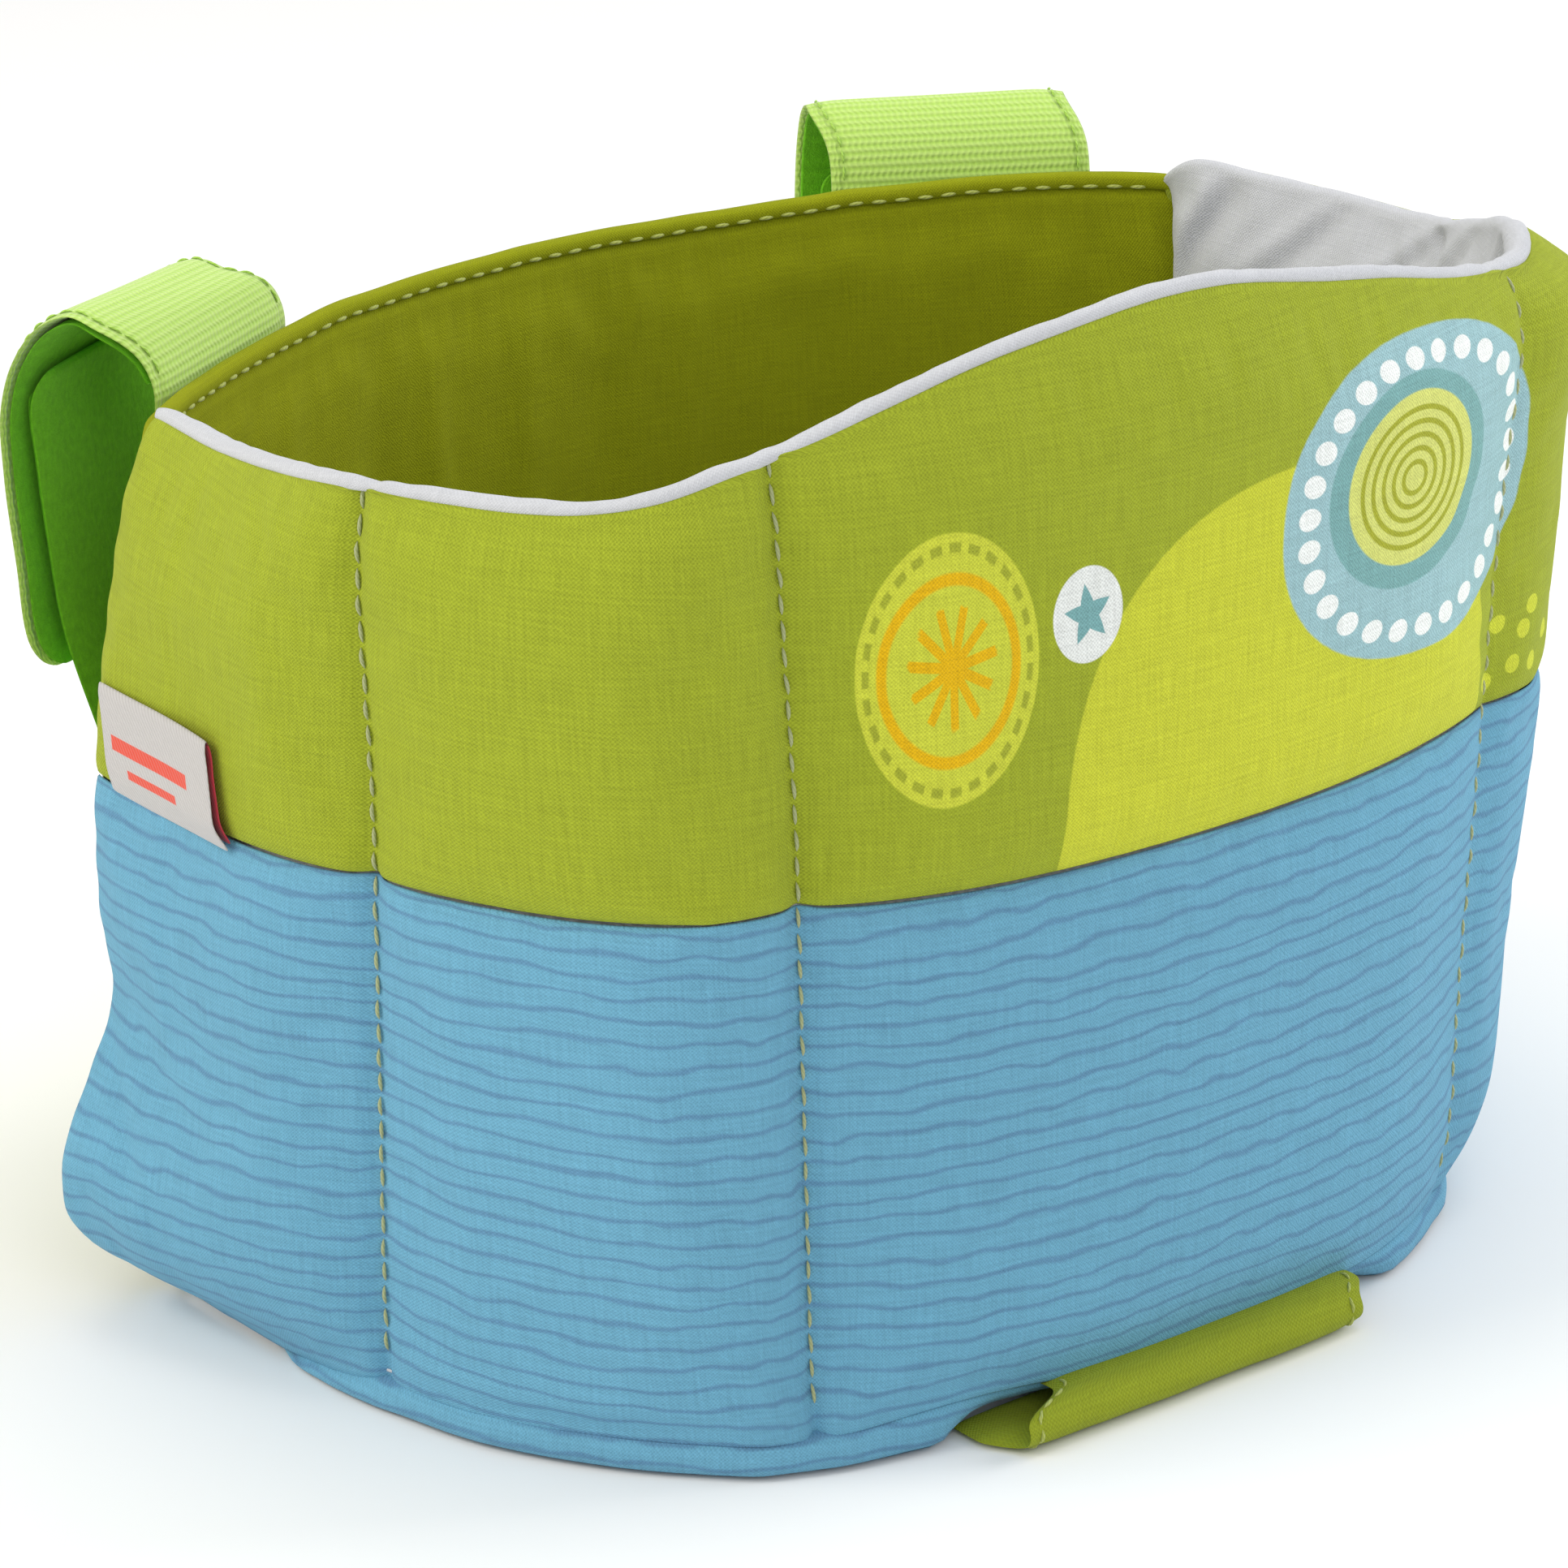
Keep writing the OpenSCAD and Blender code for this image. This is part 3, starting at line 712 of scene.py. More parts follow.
# Square lamps that face the middle of the bag: name, place, size, power, colour.
LAMPS = (("key", (-0.6, -1.15, 0.9), 0.9, 4.4, (1, 1, 1)), ("left", (-1.2, 0.45, 0.9), 0.8, 11.0, (1, 0.95, 0.84)),
         ("right", (1.25, -0.35, 0.7), 0.8, 9.0, (1, 1, 1)), ("top", (0.1, 0.1, 1.5), 1.0, 6.5, (1, 1, 1)))
SKY, LAMPS_AIM = 0.56, (0, 0, 0.06)


def set_stage():
    turn, dip = CAMERA_TURN, CAMERA_DIP
    look = Vector((math.sin(turn) * math.cos(dip), math.cos(turn) * math.cos(dip), -math.sin(dip)))
    right = Vector((math.cos(turn), -math.sin(turn), 0))
    up = right.cross(look)
    data = bpy.data.cameras.new("camera")
    data.lens, data.sensor_width, data.clip_start, data.clip_end = LENS, 36.0, 0.05, 20.0
    cam = add("camera", data)
    place = Matrix((right, up, -look)).transposed().to_4x4()
    place.translation = CAMERA_AT
    cam.matrix_world = place
    bpy.context.scene.camera = cam

    mesh = bpy.data.meshes.new("floor")
    mesh.from_pydata([(-4, -4, 0), (4, -4, 0), (4, 4, 0), (-4, 4, 0)], [], [(0, 1, 2, 3)])
    floor = add("floor", mesh)
    paint = bpy.data.materials.new("floor")
    paint.use_nodes = True
    shader = paint.node_tree.nodes["Principled BSDF"]
    shader.inputs["Base Color"].default_value = (0.92, 0.92, 0.92, 1)
    shader.inputs["Roughness"].default_value = 0.9
    mesh.materials.append(paint)

    world = bpy.data.worlds.new("studio")
    world.use_nodes = True
    sky = world.node_tree.nodes["Background"]
    sky.inputs["Color"].default_value = (1, 1, 1, 1)
    sky.inputs["Strength"].default_value = SKY
    bpy.context.scene.world = world
    for name, place, size, power, colour in LAMPS:
        lamp = bpy.data.lights.new(name, "AREA")
        lamp.shape, lamp.size, lamp.energy, lamp.color = "SQUARE", size, power, colour
        obj = add(name, lamp)
        obj.location = place
        obj.rotation_mode = "QUATERNION"
        obj.rotation_quaternion = (Vector(LAMPS_AIM) - Vector(place)).to_track_quat("-Z", "Y")
    bpy.context.scene.view_settings.view_transform = "Standard"


# ---------------------------------------------------------------- the padded wall
def columns(step):
    """The wall's grid columns: even ones, closer together at the seams."""
    parts = [np.linspace(a, b, int(round((b - a) / step)) + 1) for a, b in zip(MARKS, MARKS[1:])]
    fine = [mark + k for mark in SEAMS for k in (-2.6, -1.6, -0.8, 0.8, 1.6, 2.6)]
    rough = np.concatenate(parts)
    keep = [t for t in rough if seam_distance(t) > 3.2 or abs(t) > WALL_END - 4 or t in MARKS]
    return np.unique(np.round(np.concatenate([keep, fine]), 6))


def seam_column(t, mark):
    return int(np.abs(t - mark).argmin())


LOW_ROWS, HIGH_ROWS, INNER_ROWS = 34, 28, 50


def outer_wall(t):
    """The outside of the wall as a grid: rows 0 to LOW_ROWS are blue, the rest green."""
    low, high = wall_bottom(t)[:, None], wall_top(t)[:, None]
    f, g = np.linspace(0, 1, LOW_ROWS + 1)[None], np.linspace(0, 1, HIGH_ROWS + 1)[None, 1:]
    mid = border(t)[:, None]
    z = np.concatenate([low + f * (mid - low), mid + g * (high - 0.3 - mid)], 1)
    tt = t[:, None] + 0 * z
    points = wall_point(tt + seam_drift(tt, z), z, outer_depth(tt, z))
    pins = np.zeros(z.shape)
    pins[:, :2] = pins[:, -2:] = 1
    pins[:, LOW_ROWS] = 0.6
    pins[[seam_column(t, mark) for mark in MARKS]] = 1
    behind_label = bell(tt + 162, 22, 4) * bell(z - 88, 18, 4)
    done = simulate(points, grid_faces(*z.shape), pins, 3.0, 0.012, 2.0 - 1.9 * behind_label)
    top = wall_top(t)
    over = smooth((t - 92) / 6)
    edge = 2.2 + 0.5 * np.exp(-seam_distance(t) / 1.7) + corner_lean(t, top)
    curl = [wall_point(t + seam_drift(t, top), top + dz + over * up, edge + dd)
            for dd, dz, up in ((0.1, 0.2, 0.35), (0.7, 0.45, 0.6), (1.7, 0.2, 0.3))]
    beyond = [pair(t, top + k) for k in (0.2, 1.0, 2.0)]
    return (np.concatenate([done, np.stack(curl, 1)], 1),
            np.concatenate([pair(tt + seam_drift(tt, z), z), np.stack(beyond, 1)], 1))


def lining_wall(t):
    """The rolled rim bead and the lining down the inside of the wall, as one grid from rim to foot."""
    d = seam_distance(t)
    pinch = np.exp(-d / 1.9)
    close = np.exp(-(WALL_END - np.abs(t)) / 3.0)
    corner = bell(t - 78, 15, 4)
    fat = 1 + 0.20 * line_noise(t, 6.5, 3) + 0.12 * line_noise(t, 2.6, 4) - 0.30 * pinch
    sway = 0.35 * line_noise(t, 9, 5) + 0.5 * corner * np.sin(t * CYCLE / 3.1)
    roll = ((1.5, -0.2), (0.7, -0.1), (0.25, 0.2), (0.15, 0.75), (0.35, 1.3), (1.0, 1.75), (1.9, 1.8),
            (2.8, 1.4), (3.4, 0.7), (3.75, -0.4))
    over = smooth((t - 92) / 6)
    rim = []
    for depth, rise in roll:
        inset = 2.15 + (depth * (1 - 0.25 * over) + sway * smooth(depth) + 0.55 * pinch) * (1 - 0.6 * close)
        inset = inset + corner_lean(t, wall_top(t)) + 0.5 * over
        rim.append(wall_point(t, wall_top(t) + rise * fat * (1 - 0.45 * over) + 0.2 * over, inset))
    top = wall_top(t)[:, None]
    f = np.linspace(0, 1, INNER_ROWS)[None]
    z = top - 1.8 - f * (top - 1.8 - 6.4)
    tt = t[:, None] + 0 * z
    folds = 0.35 * area_noise(tt + 0.5 * z, z - 0.3 * tt, 13, 21) * smooth((top - z) / 15)
    for at, slope, size in ((93, 0.9, 2.0), (112, 1.1, 1.7), (124, 1.5, 1.9), (148, 1.0, 1.5), (169, 0.45, 1.9)):
        along = tt - at - slope * (top - z)
        folds += (size * (bell(along, 1.7) - 0.8 * bell(along + 3.6, 2.4)) * smooth((top - z) / 3)
                  * smooth(1.4 - (top - z) / 20))
    points = wall_point(tt, z, inner_depth(tt, z) + folds)
    pins = np.zeros(z.shape)
    pins[:, :1] = pins[:, -2:] = 1
    pins[[seam_column(t, mark) for mark in MARKS]] = 1
    done = simulate(points, grid_faces(*z.shape), pins, 1.6, 0.02, 2.0)
    beyond = [pair(t, wall_top(t) + 0.6 * (len(roll) - k)) for k in range(len(roll))]
    return (np.concatenate([np.stack(rim, 1), done], 1), np.concatenate([np.stack(beyond, 1), pair(tt, z)], 1))


def build_wall():
    t = columns(1.7)
    outer, cloth = outer_wall(t)
    n = len(t)
    border = LOW_ROWS + 1
    lower = make("lower_wall_fabric", outer[:, :border], grid_faces(n, border), TWILL, cloth[:, :border])
    upper = make("upper_wall_fabric", outer[:, LOW_ROWS:], grid_faces(n, outer.shape[1] - LOW_ROWS), PRINT,
                 cloth[:, LOW_ROWS:])
    inner, place = lining_wall(t)
    lining = make("wall_lining_fabric", inner, grid_faces(n, inner.shape[1]), GREY, place)
    for obj, node, slot, height in ((lower, "lower_wall_cover", "blue_twill", 0.074),
                                    (upper, "upper_wall_cover", "printed_cotton", 0.062),
                                    (lining, "wall_lining", "grey_lining", 0.138)):
        fabric(obj, 0.5)
        stand_in(obj, slot, node, body="bag")

    # The wadding fills the space between the two skins.
    rows = [6 + 4 * k for k in range((LOW_ROWS + HIGH_ROWS - 8) // 4)]
    cols = list(range(7, n - 7, 3))
    out = outer[cols][:, rows]
    place = [int(round(10 + k * (INNER_ROWS - 6) / (len(rows) - 1))) for k in range(len(rows))]
    inn = inner[cols][:, place[::-1]]
    middle = (out + inn) / 2
    out, inn = out + (middle - out) * 0.35, inn + (middle - inn) * 0.35
    ring = np.concatenate([out, inn[:, ::-1]], 1)
    fill = make("wall_wadding_fill", ring, band_faces(*ring.shape[:2]), WADDING, ring[..., ::2], closed=True)
    stand_in(fill, "wadding", "wall_wadding", body="bag")

    names = ("left_side", "left_front", "right_front", "right_side")
    for name, mark in zip(names, SEAMS):
        col = seam_column(t, mark)
        path = outer[col, 2:LOW_ROWS + HIGH_ROWS + 1]
        out = -inward(np.full(len(path), mark), path[:, 2])
        up = np.concatenate([out, np.zeros((len(path), 1))], 1)
        path = np.concatenate([path, inner[col, 2:7:2]])
        up = np.concatenate([up, up[-1:], up[-1:] + [[0, 0, 1]], up[-1:] * 0 + [[0, 0, 1]]])
        s = stitches(name + "_stitches", path, up, SEAM_THREAD, sink=0.1 if mark == FRONT_SEAM else -0.4, tilt=0.08)
        stand_in(s, "thread", name + "_quilting", body="bag")


# ---------------------------------------------------------------- the back panel
def back_rise(s):
    """The back panel's rim stands higher at its right end, and waves a little."""
    return (spline([-1, -0.75, -0.4, 0.2, 0.9, 1], [-0.4, -0.9, -0.3, 0, 1.9, 1.9], s)
            + 0.25 * line_noise(s * 110, 11, 8))


def back_tuck(s, z):
    """How far the back panel's bottom corners are drawn in, more at the left one."""
    return (7.25 - 1.75 * np.sign(s)) * smooth((np.abs(s) - 0.72) / 0.28) * np.clip(1 - (z - 3) / 16, 0, 1) ** 1.7


def build_back():
    s = np.linspace(-1, 1, 121)
    fold = ((0, -1.3), (0.25, -0.4), (0.9, 0.0), (1.9, 0.0), (2.65, -0.3), (3.0, -0.9), (3.1, -1.5), (2.95, -2.1),
            (2.4, -2.6))
    z = np.concatenate([np.linspace(4.0, BACK_TOP - 2.6, 40), [BACK_TOP + dz for _, dz in fold]])
    depth = np.concatenate([np.zeros(40), [d for d, _ in fold]])
    ss, zz = grid(s, z)
    wave = 0.5 * area_noise(ss * 120, zz, 24, 41) * smooth((BACK_TOP - 4 - zz) / 20) * smooth((zz - 6) / 12)
    dd = depth + wave * (np.arange(len(z)) < 40)
    side = smooth((np.abs(ss) - 0.955) / 0.045) * (0.6 + 0.9 * smooth((zz - 112) / 8))
    points = back_point(ss, zz, dd + back_tuck(ss, zz) + side)
    points[..., 2] += back_rise(ss) * smooth((zz - 96) / 28)
    cloth = pair(ss * PANEL_HALF, run_length(pair(z, depth)))
    cover = fabric(make("back_panel_fabric", points, grid_faces(*zz.shape, flip=True), OLIVE, cloth), 0.5)

    # The lining hangs from the hem in soft upright folds.
    z = np.concatenate([[BACK_TOP - 2.3, BACK_TOP - 2.8], np.linspace(BACK_TOP - 3.5, 5.0, 53)])
    ss, zz = grid(s, z)
    folds = np.zeros(zz.shape)
    for at, lean, width, size in ((-0.84, 0.05, 0.030, 0.9), (-0.70, 0.08, 0.045, -1.0), (-0.55, 0.04, 0.026, 0.9),
                                  (-0.34, 0.03, 0.040, -1.1), (-0.23, 0.02, 0.022, 1.0), (-0.04, -0.02, 0.030, 0.9),
                                  (0.10, -0.04, 0.045, -0.9), (0.24, -0.03, 0.026, 0.7), (0.43, 0.03, 0.05, -0.8),
                                  (0.60, 0.02, 0.03, 0.6), (0.80, -0.03, 0.04, 0.7)):
        where = at + lean * (BACK_TOP - zz) / 60 + 0.012 * line_noise(zz, 30, 61)
        folds += size * bell(ss - where, width)
    folds = folds * smooth((BACK_TOP - 5 - zz) / 22) * smooth((zz - 6) / 20) * 1.2
    folds += 0.18 * area_noise(ss * 120, zz, 5.5, 71) * smooth((BACK_TOP - 6 - zz) / 8)
    folds += 0.15 * np.sin(ss * PANEL_HALF * CYCLE / 5.4) * np.exp(-(BACK_TOP - 2.7 - zz) / 3.5) * (zz < BACK_TOP - 3)
    base = np.where(zz > BACK_TOP - 3.0, 2.2, 3.2)
    points = back_point(ss, zz, base + folds + back_tuck(ss, zz))
    points[..., 2] += back_rise(ss) * smooth((zz - 96) / 28)
    pins = np.zeros(zz.shape)
    pins[:, :4] = pins[:, -2:] = 1
    pins[:1] = pins[-1:] = 1
    points = simulate(points, grid_faces(*zz.shape, flip=True), pins, 1.0, 0.012, 1.5, sink=0.2)
    lining = fabric(make("back_lining_fabric", points, grid_faces(*zz.shape, flip=True), OLIVE,
                         pair(ss * PANEL_HALF, zz)), 0.5)

    # Stiffener between the two: a ring of 24 points in each of 40 columns.
    z = np.linspace(9, BACK_TOP - 7, 12)
    ss, zz = grid(np.linspace(-0.95, 0.95, 40), np.concatenate([z, z[::-1]]))
    dd = np.repeat([0.8, 1.1], 12) + back_tuck(ss, zz) + 0.3 * smooth((np.abs(ss) - 0.7) / 0.2)
    faces = grid_faces(40, 24, wrap=True, flip=True) + rungs(0, 24, flip=True) + rungs(39 * 24, 24)
    fill = make("back_panel_fill", back_point(ss, zz, dd), faces, WADDING, pair(ss * PANEL_HALF, zz), closed=True)

    s = np.linspace(-0.965, 0.965, 160)
    path = back_point(s, BACK_TOP - 1.9, 2.95)
    up = back_point(s, BACK_TOP - 1.9, 4.0) - path
    path[:, 2] += back_rise(s)
    row = stitches("back_rim_stitches", path, up, RIM_THREAD, length=2.7, width=0.6)
    for obj, node, slot in ((cover, "back_panel_cover", "olive_lining"), (lining, "back_panel_lining", "olive_lining"),
                            (fill, "back_panel_interlining", "wadding"), (row, "back_rim_topstitch", "thread")):
        stand_in(obj, slot, node, body="bag")


# ---------------------------------------------------------------- the base
def base_ring(inset, front_inset, share, z):
    """One ring round the base, from the left back corner round the front and back along the panel;
    share is the part of the wall's foot height to rise by, over z."""
    t = np.linspace(-(WALL_END - 1.5), WALL_END - 1.5, 180)
    e = front_zone(t)
    n = inward(t, np.full(180, BASE_H))
    under = 3.8 * smooth((-t - 138) / 16)
    p = wall_xy(t, np.full(180, BASE_H)) + n * (foot(t) + under + inset + e * (front_inset - inset))[:, None]
    wall = np.concatenate([p, (z + share * wall_bottom(t))[:, None]], 1)
    s = np.linspace(0.955, -0.92, 90)
    back = back_point(s, np.full(90, BASE_H), inset + 0.6 + 3.0 * smooth((np.abs(s) - 0.7) / 0.25)
                      + 4.0 * smooth((-s - 0.78) / 0.14))
    back[:, 2] = z + share * (4.0 - 1.4 * smooth((np.abs(s) - 0.7) / 0.25))
    return np.concatenate([wall, back])


def build_base():
    edge = ((3.0, 3.0, 1.0, 1.0), (1.2, 1.6, 1.0, 0.5), (0.2, 1.3, 0.9, 0.0), (-0.1, 2.6, 0.65, 0.0),
            (0.0, 6.0, 0.4, 0.0), (0.5, 10.5, 0.18, 0.0), (1.7, 15.5, 0.04, 0.0), (4.5, 18.5, 0.0, 0.0))
    rings = [base_ring(*e) for e in edge]
    m = len(rings[0])
    around = run_length(rings[0][:, :2])
    ripple = 0.28 * line_noise(around, 5.5, 12) + 0.16 * line_noise(around, 2.4, 13)
    for k in range(1, 6):
        rings[k][:, 2] += ripple * (0.5, 0.9, 1.0, 0.7, 0.3)[k - 1]
    centre = np.array([0, 2.0, 0])
    rings += [centre + (rings[7] - centre) * f for f in (0.8, 0.55, 0.3, 0.08)]
    points = np.stack(rings)
    cloth = points[..., :2].copy()
    cloth[:6, :, 0], cloth[:6, :, 1] = around, points[:6, :, 2] + 3
    faces = grid_faces(len(rings), m, wrap=True) + fan((len(rings) - 1) * m, m, len(rings) * m, flip=True)
    points = np.concatenate([points.reshape(-1, 3), [centre]])
    cloth = np.concatenate([cloth.reshape(-1, 2), [centre[:2]]])
    cover = fabric(make("base_fabric", points, faces, TWILL, cloth), 0.5, soft=False)

    top = base_ring(2.4, 2.6, 0.0, 5.6)
    floor = np.stack([centre + (top - centre) * [f, f, 1] for f in np.linspace(1, 0.06, 20)])
    floor[..., 2] = 5.75 + 0.25 * area_noise(floor[..., 0], floor[..., 1], 17, 33) * (
        smooth(np.arange(20) / 4)[:, None])
    faces = grid_faces(20, m, wrap=True, flip=True) + fan(19 * m, m, 20 * m)
    floor = np.concatenate([floor.reshape(-1, 3), [[0, 2, 5.75]]])
    lining = fabric(make("base_lining_fabric", floor, faces, GREY, floor[:, :2]), 0.4, soft=False)

    rings = [base_ring(i, f, 0.0, z) for i, f, z in ((6, 20, 0.9), (3.5, 9, 1.6), (3.8, 6, 3.2), (6, 7, 4.6))]
    faces = grid_faces(4, m, wrap=True, flip=True) + fan(0, m, 4 * m, flip=True) + fan(3 * m, m, 4 * m + 1)
    points = np.concatenate([np.concatenate(rings), [[0, 2, 0.9], [0, 2, 4.7]]])
    fill = make("base_wadding_fill", points, faces, WADDING, points[:, :2], closed=True)
    for obj, node, slot in ((cover, "base_cover", "blue_twill"), (lining, "base_lining", "grey_lining"),
                            (fill, "base_wadding", "wadding")):
        stand_in(obj, slot, node, body="bag")


# ---------------------------------------------------------------- straps
def strap_frame(side):
    a = STRAP_TURN * side
    return np.array([math.sin(a), math.cos(a), 0]), np.array([math.cos(a), -math.sin(a), 0])


def strap_point(side, d, z, s):
    """Points of a strap: out from the panel, up, and across the strap from its middle."""
    n, t = strap_frame(side)
    d, z, s = np.broadcast_arrays(np.asarray(d, float), z, s)
    p = np.array([side * STRAP_X, STRAP_Y, 0]) + d[..., None] * n + s[..., None] * t
    p[..., 2] = z
    return p


def through(points, count):
    """Evenly spaced points of a smooth line through given ones, and their distances along it."""
    k = run_length(points)
    q = np.linspace(0, k[-1], count)
    return pair(spline(k, points[:, 0], q), spline(k, points[:, 1], q)), q


def even_path(points, step, scale_d=1.0, lift=0.0):
    """Evenly spaced points of a smooth line through given ones, with its normals."""
    p = np.array(points, float)
    p = pair(p[:, 0] * scale_d, p[:, 1] + lift * smooth((p[:, 1] - 118) / 14))
    line, run = through(p, int(run_length(p)[-1] / step) + 1)
    d = np.gradient(line, axis=0)
    d /= np.linalg.norm(d, axis=1, keepdims=True)
    return line, pair(d[:, 1], -d[:, 0]), run


def ribbon(name, side, line, normal, run, width, low, high, material, round_end=0.0, warp=None):
    """A flat band with rounded edges: from low to high under its line's outer face."""
    half, thick = width / 2, high - low
    across = np.linspace(-1, 1, 15)
    bulge = 1 - np.abs(across) ** 12
    cs = np.concatenate([across, across[::-1]])
    hs = np.concatenate([low + thick * 0.5 * (1 - bulge), high - thick * 0.5 * (1 - bulge[::-1])])
    w = np.full(len(run), half)
    if round_end:
        e = np.clip((run - (run[-1] - round_end)) / round_end, 0, 1)
        w = half - round_end * (1 - np.sqrt(np.clip(1 - e * e, 0.02, 1)))
    s = cs * w[:, None]
    d = line[:, None, 0] - normal[:, None, 0] * hs
    z = line[:, None, 1] - normal[:, None, 1] * hs
    if warp is not None:
        d, z, s = warp(d, z, s)
    points = strap_point(side, d, z, s)
    cloth = pair(run[:, None], cs * w[:, None])
    return soften(make(name, points, band_faces(len(run), len(cs)), material, cloth, closed=True))


# Side lines of the loop strap and the lower strap: out from the panel, and up.
BAND = ((1.15, 121.4), (1.15, 127.0), (3.0, 131.4), (7.2, 135.5), (12.2, 137.5), (17.2, 135.4), (21.6, 129.8),
        (23.9, 122.4), (23.9, 113.1), (22.5, 99.2), (21.6, 90.3), (19.6, 83.8))
LOWER = ((4.6, 54.0), (5.2, 57.0), (7.4, 64.5), (12.6, 78), (16.6, 90), (18.6, 103), (19.9, 115), (20.5, 122.5),
         (19.7, 127.0))


def build_strap(side, name):
    """The two straps differ a little: depth and lift of the loop, drop of its far edge, place of root and loop."""
    depth, lift, drop, root, shift = (1.0, 0.0, 2.6, 3.0, -0.5) if side < 0 else (0.84, 1.8, 0.4, 0.0, -2.4)

    def warp(d, z, s):
        """The far edge of the arch sinks a little and the band is not quite flat."""
        far = (s * -side + 20) / 40
        arch = smooth((z - 112) / 20) * smooth((d - 2) / 8)
        bow = 0.35 * (s / 20) ** 2 * smooth((d - 3) / 6)
        return d + bow, z - drop * far * arch, s + root + (shift - root) * smooth((d - 1.5) / 8)

    line, normal, run = even_path(BAND, 1.0, depth, lift)
    band = ribbon(name + "_strap_band", side, line, -normal, run, STRAP_W, 0.0, 1.3, WEB, 6.0, warp)
    cut = slice(6, None)
    lining = ribbon(name + "_strap_pile_lining", side, line[cut], -normal[cut], run[cut], STRAP_W - 1.4, 1.32, 2.3,
                    PILE, 5.5, warp)
    rows = []
    for edge in (-1, 1):
        keep = slice(7, len(run) - 4)
        d, z, s = warp(line[keep, 0], line[keep, 1], np.full(len(run[keep]), edge * (STRAP_W / 2 - 2)))
        path = strap_point(side, d, z, s)
        up = strap_point(side, d - normal[keep, 0], z - normal[keep, 1], s) - path
        rows.append(stitches("row", path, up, STRAP_THREAD, pitch=2.6, length=2.2, width=0.38, sink=0.26))
    edging = join(rows, name + "_strap_edge_stitches")
    for obj, slot, nodes in ((band, "green_webbing", ("_webbing", "_anchor")), (lining, "green_pile", ("_pile",)),
                             (edging, "thread", ("_edge_stitching",))):
        stand_in(obj, slot, *[name + "_strap" + node for node in nodes])
        place_mm(*strap_point(side, 1.6, 128.0, 0.0))
        place_mm(*strap_point(side, 5.5, 128.0, 0.0))
        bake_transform(obj)

    line, normal, run = even_path(LOWER, 1.0, depth, 0.0)
    lower = ribbon(name + "_lower_band", side, line, normal, run, STRAP_W - 2, 0.0, 1.4, BRUSHED, 4.0)
    upper = slice(len(line) // 2 - 4, -3)
    hook = ribbon(name + "_hook_pile", side, line[upper], normal[upper], run[upper], STRAP_W - 5, -0.75, -0.02, PILE)
    stand_in(lower, "green_webbing", name + "_lower_strap")
    stand_in(hook, "green_pile", name + "_hook_patch", body=name + "_lower_strap")
    place_mm(*strap_point(side, 4.6, 57.5, 0.0))
    place_mm(*strap_point(side, 4.6, 64.0, 0.0))
    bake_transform(lower)


def join(objects, name):
    """One object from several of the same material."""
    verts, faces, cloth = [], [], []
    for o in objects:
        start = len(verts)
        verts += [tuple(v.co) for v in o.data.vertices]
        cloth += [tuple(a.vector) for a in o.data.attributes["cloth"].data]
        faces += [[start + k for k in p.vertices] for p in o.data.polygons]
    material = objects[0].data.materials[0]
    for o in objects:
        bpy.data.objects.remove(o)
    return make(name, np.array(verts) / MM, faces, material, np.array(cloth), closed=True)


# ---------------------------------------------------------------- label and tab
def build_label():
    """A folded tape, sewn in the border seam, whose two layers stand off the wall a little."""
    along, out = np.array([0, -1.0, 0]), np.array([-1.0, 0, 0])
    centre = np.array(LABEL_AT) - [0, 0, 1.2]
    height, half = 14.6, 16.0
    profile = [(0.0, -0.4), (0.15, 3), (-0.1, 7), (-0.35, 11), (-0.55, height - 0.8), (-0.85, height),
               (-1.15, height - 0.8), (-1.1, 9), (-1.0, 4), (-0.9, 0.4)]
    line, _ = through(np.array(profile), 34)
    u = np.linspace(4.0 - half, half, 23)
    x, d, h = u[:, None, None], line[:, 0][None, :, None], line[:, 1][None, :, None]
    stand = 0.9 + 0.0022 * (x + 4) ** 2 + np.where(x < 0, -0.9, 0.4) * (np.abs(x) / half) ** 2
    skew = -0.22 * h - 1.2
    pts = centre + along * (x + skew) + out * (d + 0.3 + stand * smooth((h + 2) / 6)) + np.array([0, 0, 1.0]) * h
    cloth = pair(u[:, None], line[:, 1])
    cloth[:, 18:, 1] += 30  # the back layer, past the red bars
    label = fabric(make("woven_label_tape", pts, grid_faces(len(u), len(line)), TAPE, cloth), 0.35)
    label.modifiers["thickness"].offset = 0
    stand_in(label, "label_tape", "woven_label")
    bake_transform(label)


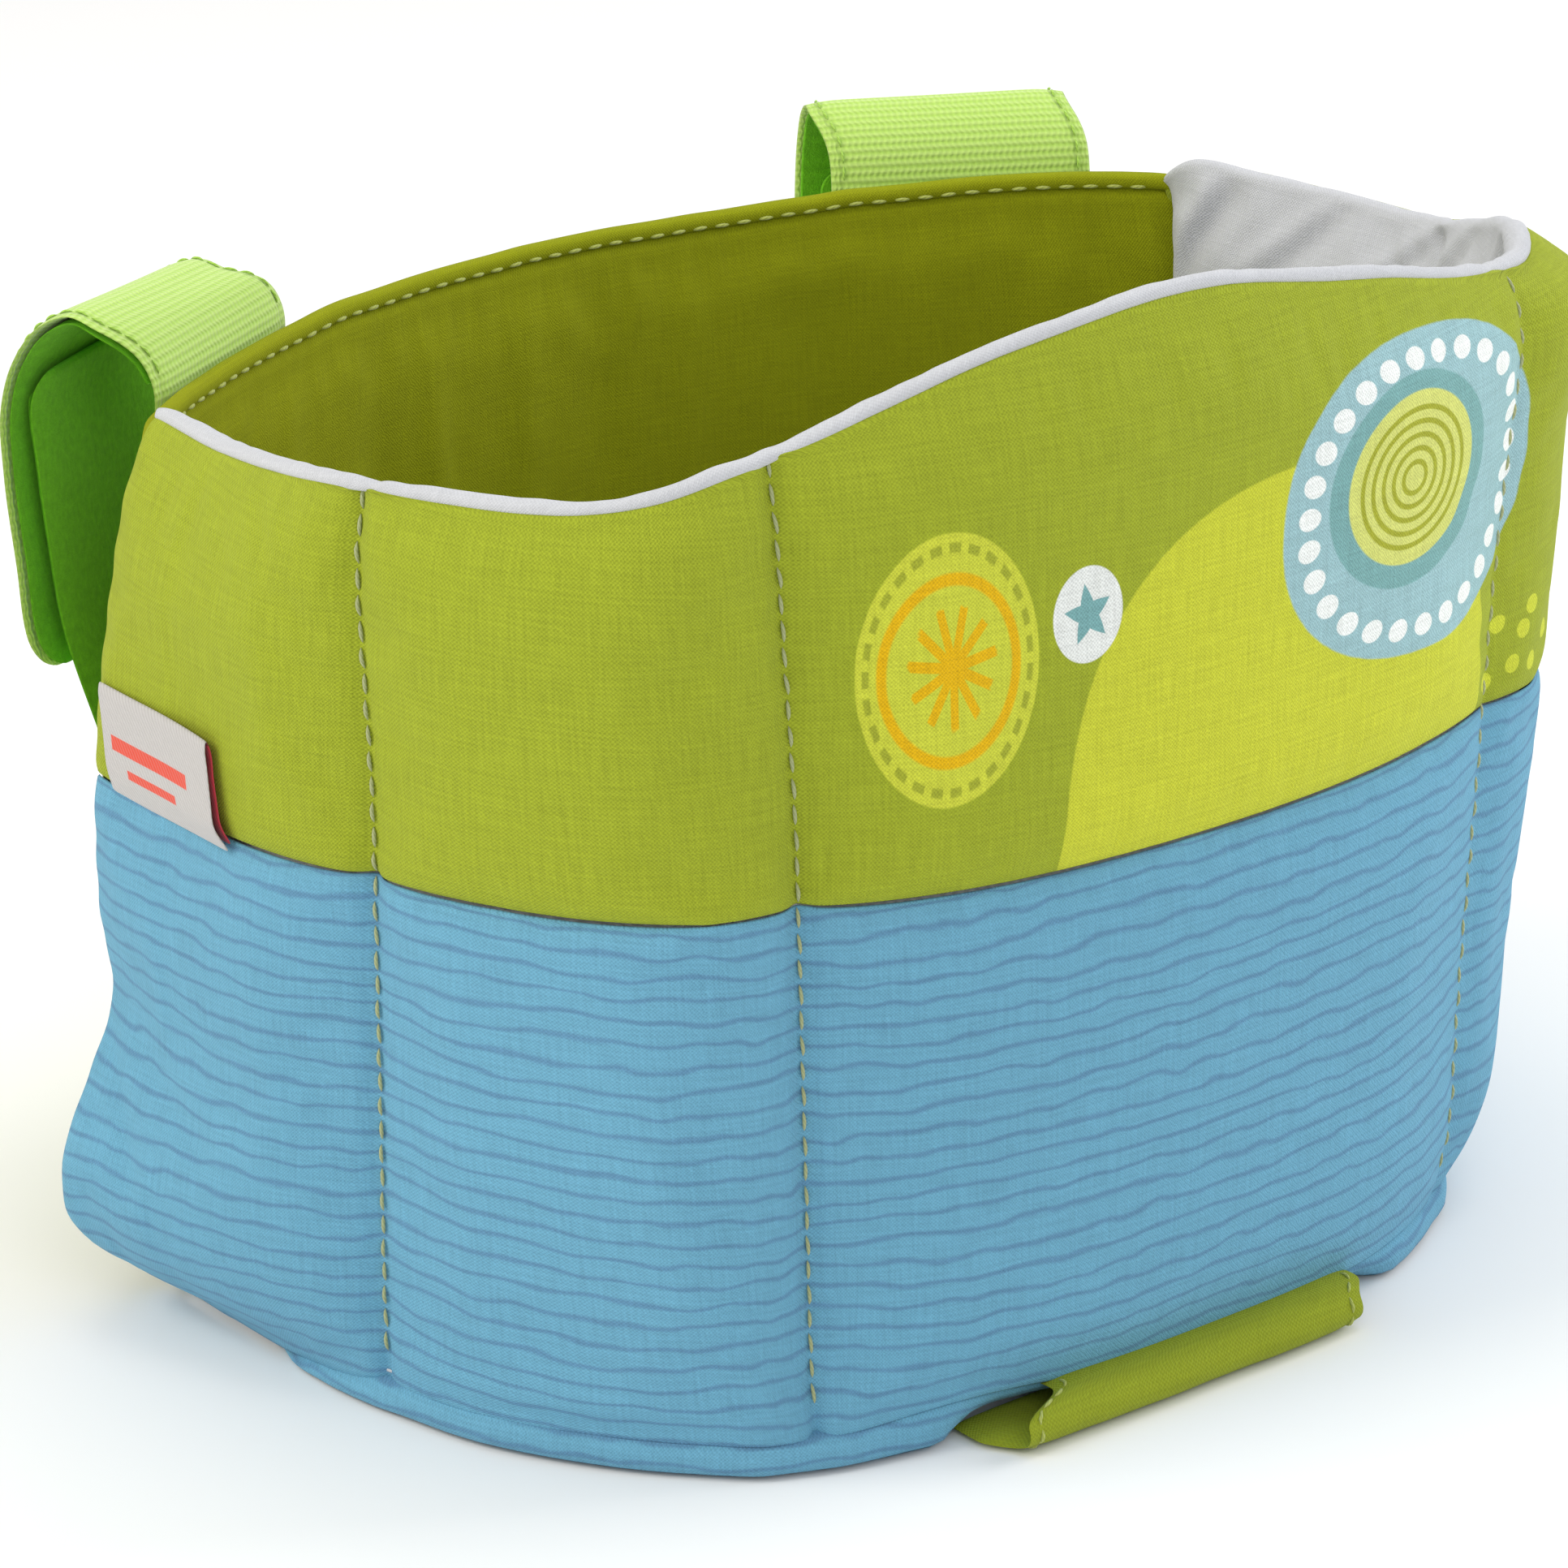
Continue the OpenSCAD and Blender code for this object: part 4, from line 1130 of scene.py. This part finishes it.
# Side line of the tab from its root in the bottom seam, round its fold and back under the base: y and z.
TAB = ((3.0, -1.5), (0.6, -1.2), (-1.7, -1.3), (-3.7, -1.7), (-4.8, -2.5), (-5.4, -3.9), (-4.8, -5.4), (-3.2, -6.15),
       (0, -6.3), (7, -6.3))
TAB_ACROSS, TAB_STITCH_AT = 57, 25.6


def build_tab():
    line, normal, run = even_path(TAB, 0.8)
    half, thick = TAB_W / 2, 1.5
    u = np.linspace(-1, 1, TAB_ACROSS)
    bulge = 1 - np.abs(u) ** 14
    us = np.concatenate([u, u[::-1]]) * half
    hs = np.concatenate([-thick / 2 * bulge, thick / 2 * bulge[::-1]])
    bend = smooth((-line[:, 0] - 1) / 4)
    flare = (np.maximum.accumulate(bend) + 0.35 * smooth((run - run[-1] * 0.5) / 6))[:, None]
    curl = np.clip(-(us + half - 7) / 7, 0, 1) ** 2
    ripple = 0.30 * line_noise(us + 40, 7, 17) - 0.25 * np.exp(-np.abs(np.abs(us) - 25.5) / 1.2)
    x = us * (1 + 0.1 * flare) + TAB_X + 4.6 - 5.5 * flare
    y = line[:, :1] - normal[:, :1] * hs - (ripple + 0.8 * curl) * bend[:, None] + FRONT_Y
    z = np.maximum(line[:, 1:] - normal[:, 1:] * hs + WALL_Z0 + FRONT_LIFT, 0.05)
    pts = np.stack([x, y, z], -1)
    tab = soften(make("bottom_tab_fabric", pts, band_faces(len(run), len(us)), TAB_CLOTH, pair(run[:, None], us),
                      closed=True))
    rows = []
    for edge in (-1, 1):  # on the outer side, the first half of each ring
        path = pts[3:int(len(run) * 0.66), int(np.abs(us[:TAB_ACROSS] - edge * TAB_STITCH_AT).argmin())]
        up = path - [0, FRONT_Y + 1.0, WALL_Z0 - 2.0]
        up[:, 0] = 0
        rows.append(stitches("row", path, up, RIM_THREAD, pitch=3.0, length=2.5, width=0.5, sink=0.1))
    for obj, slot, node in ((tab, "olive_lining", "bottom_tab"),
                            (join(rows, "bottom_tab_stitches"), "thread", "bottom_tab_stitching")):
        stand_in(obj, slot, node)
        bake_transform(obj)


set_stage()
build_wall()
build_back()
build_base()
for SIDE, NAME in ((-1, "left"), (1, "right")):
    build_strap(SIDE, NAME)
build_label()
build_tab()
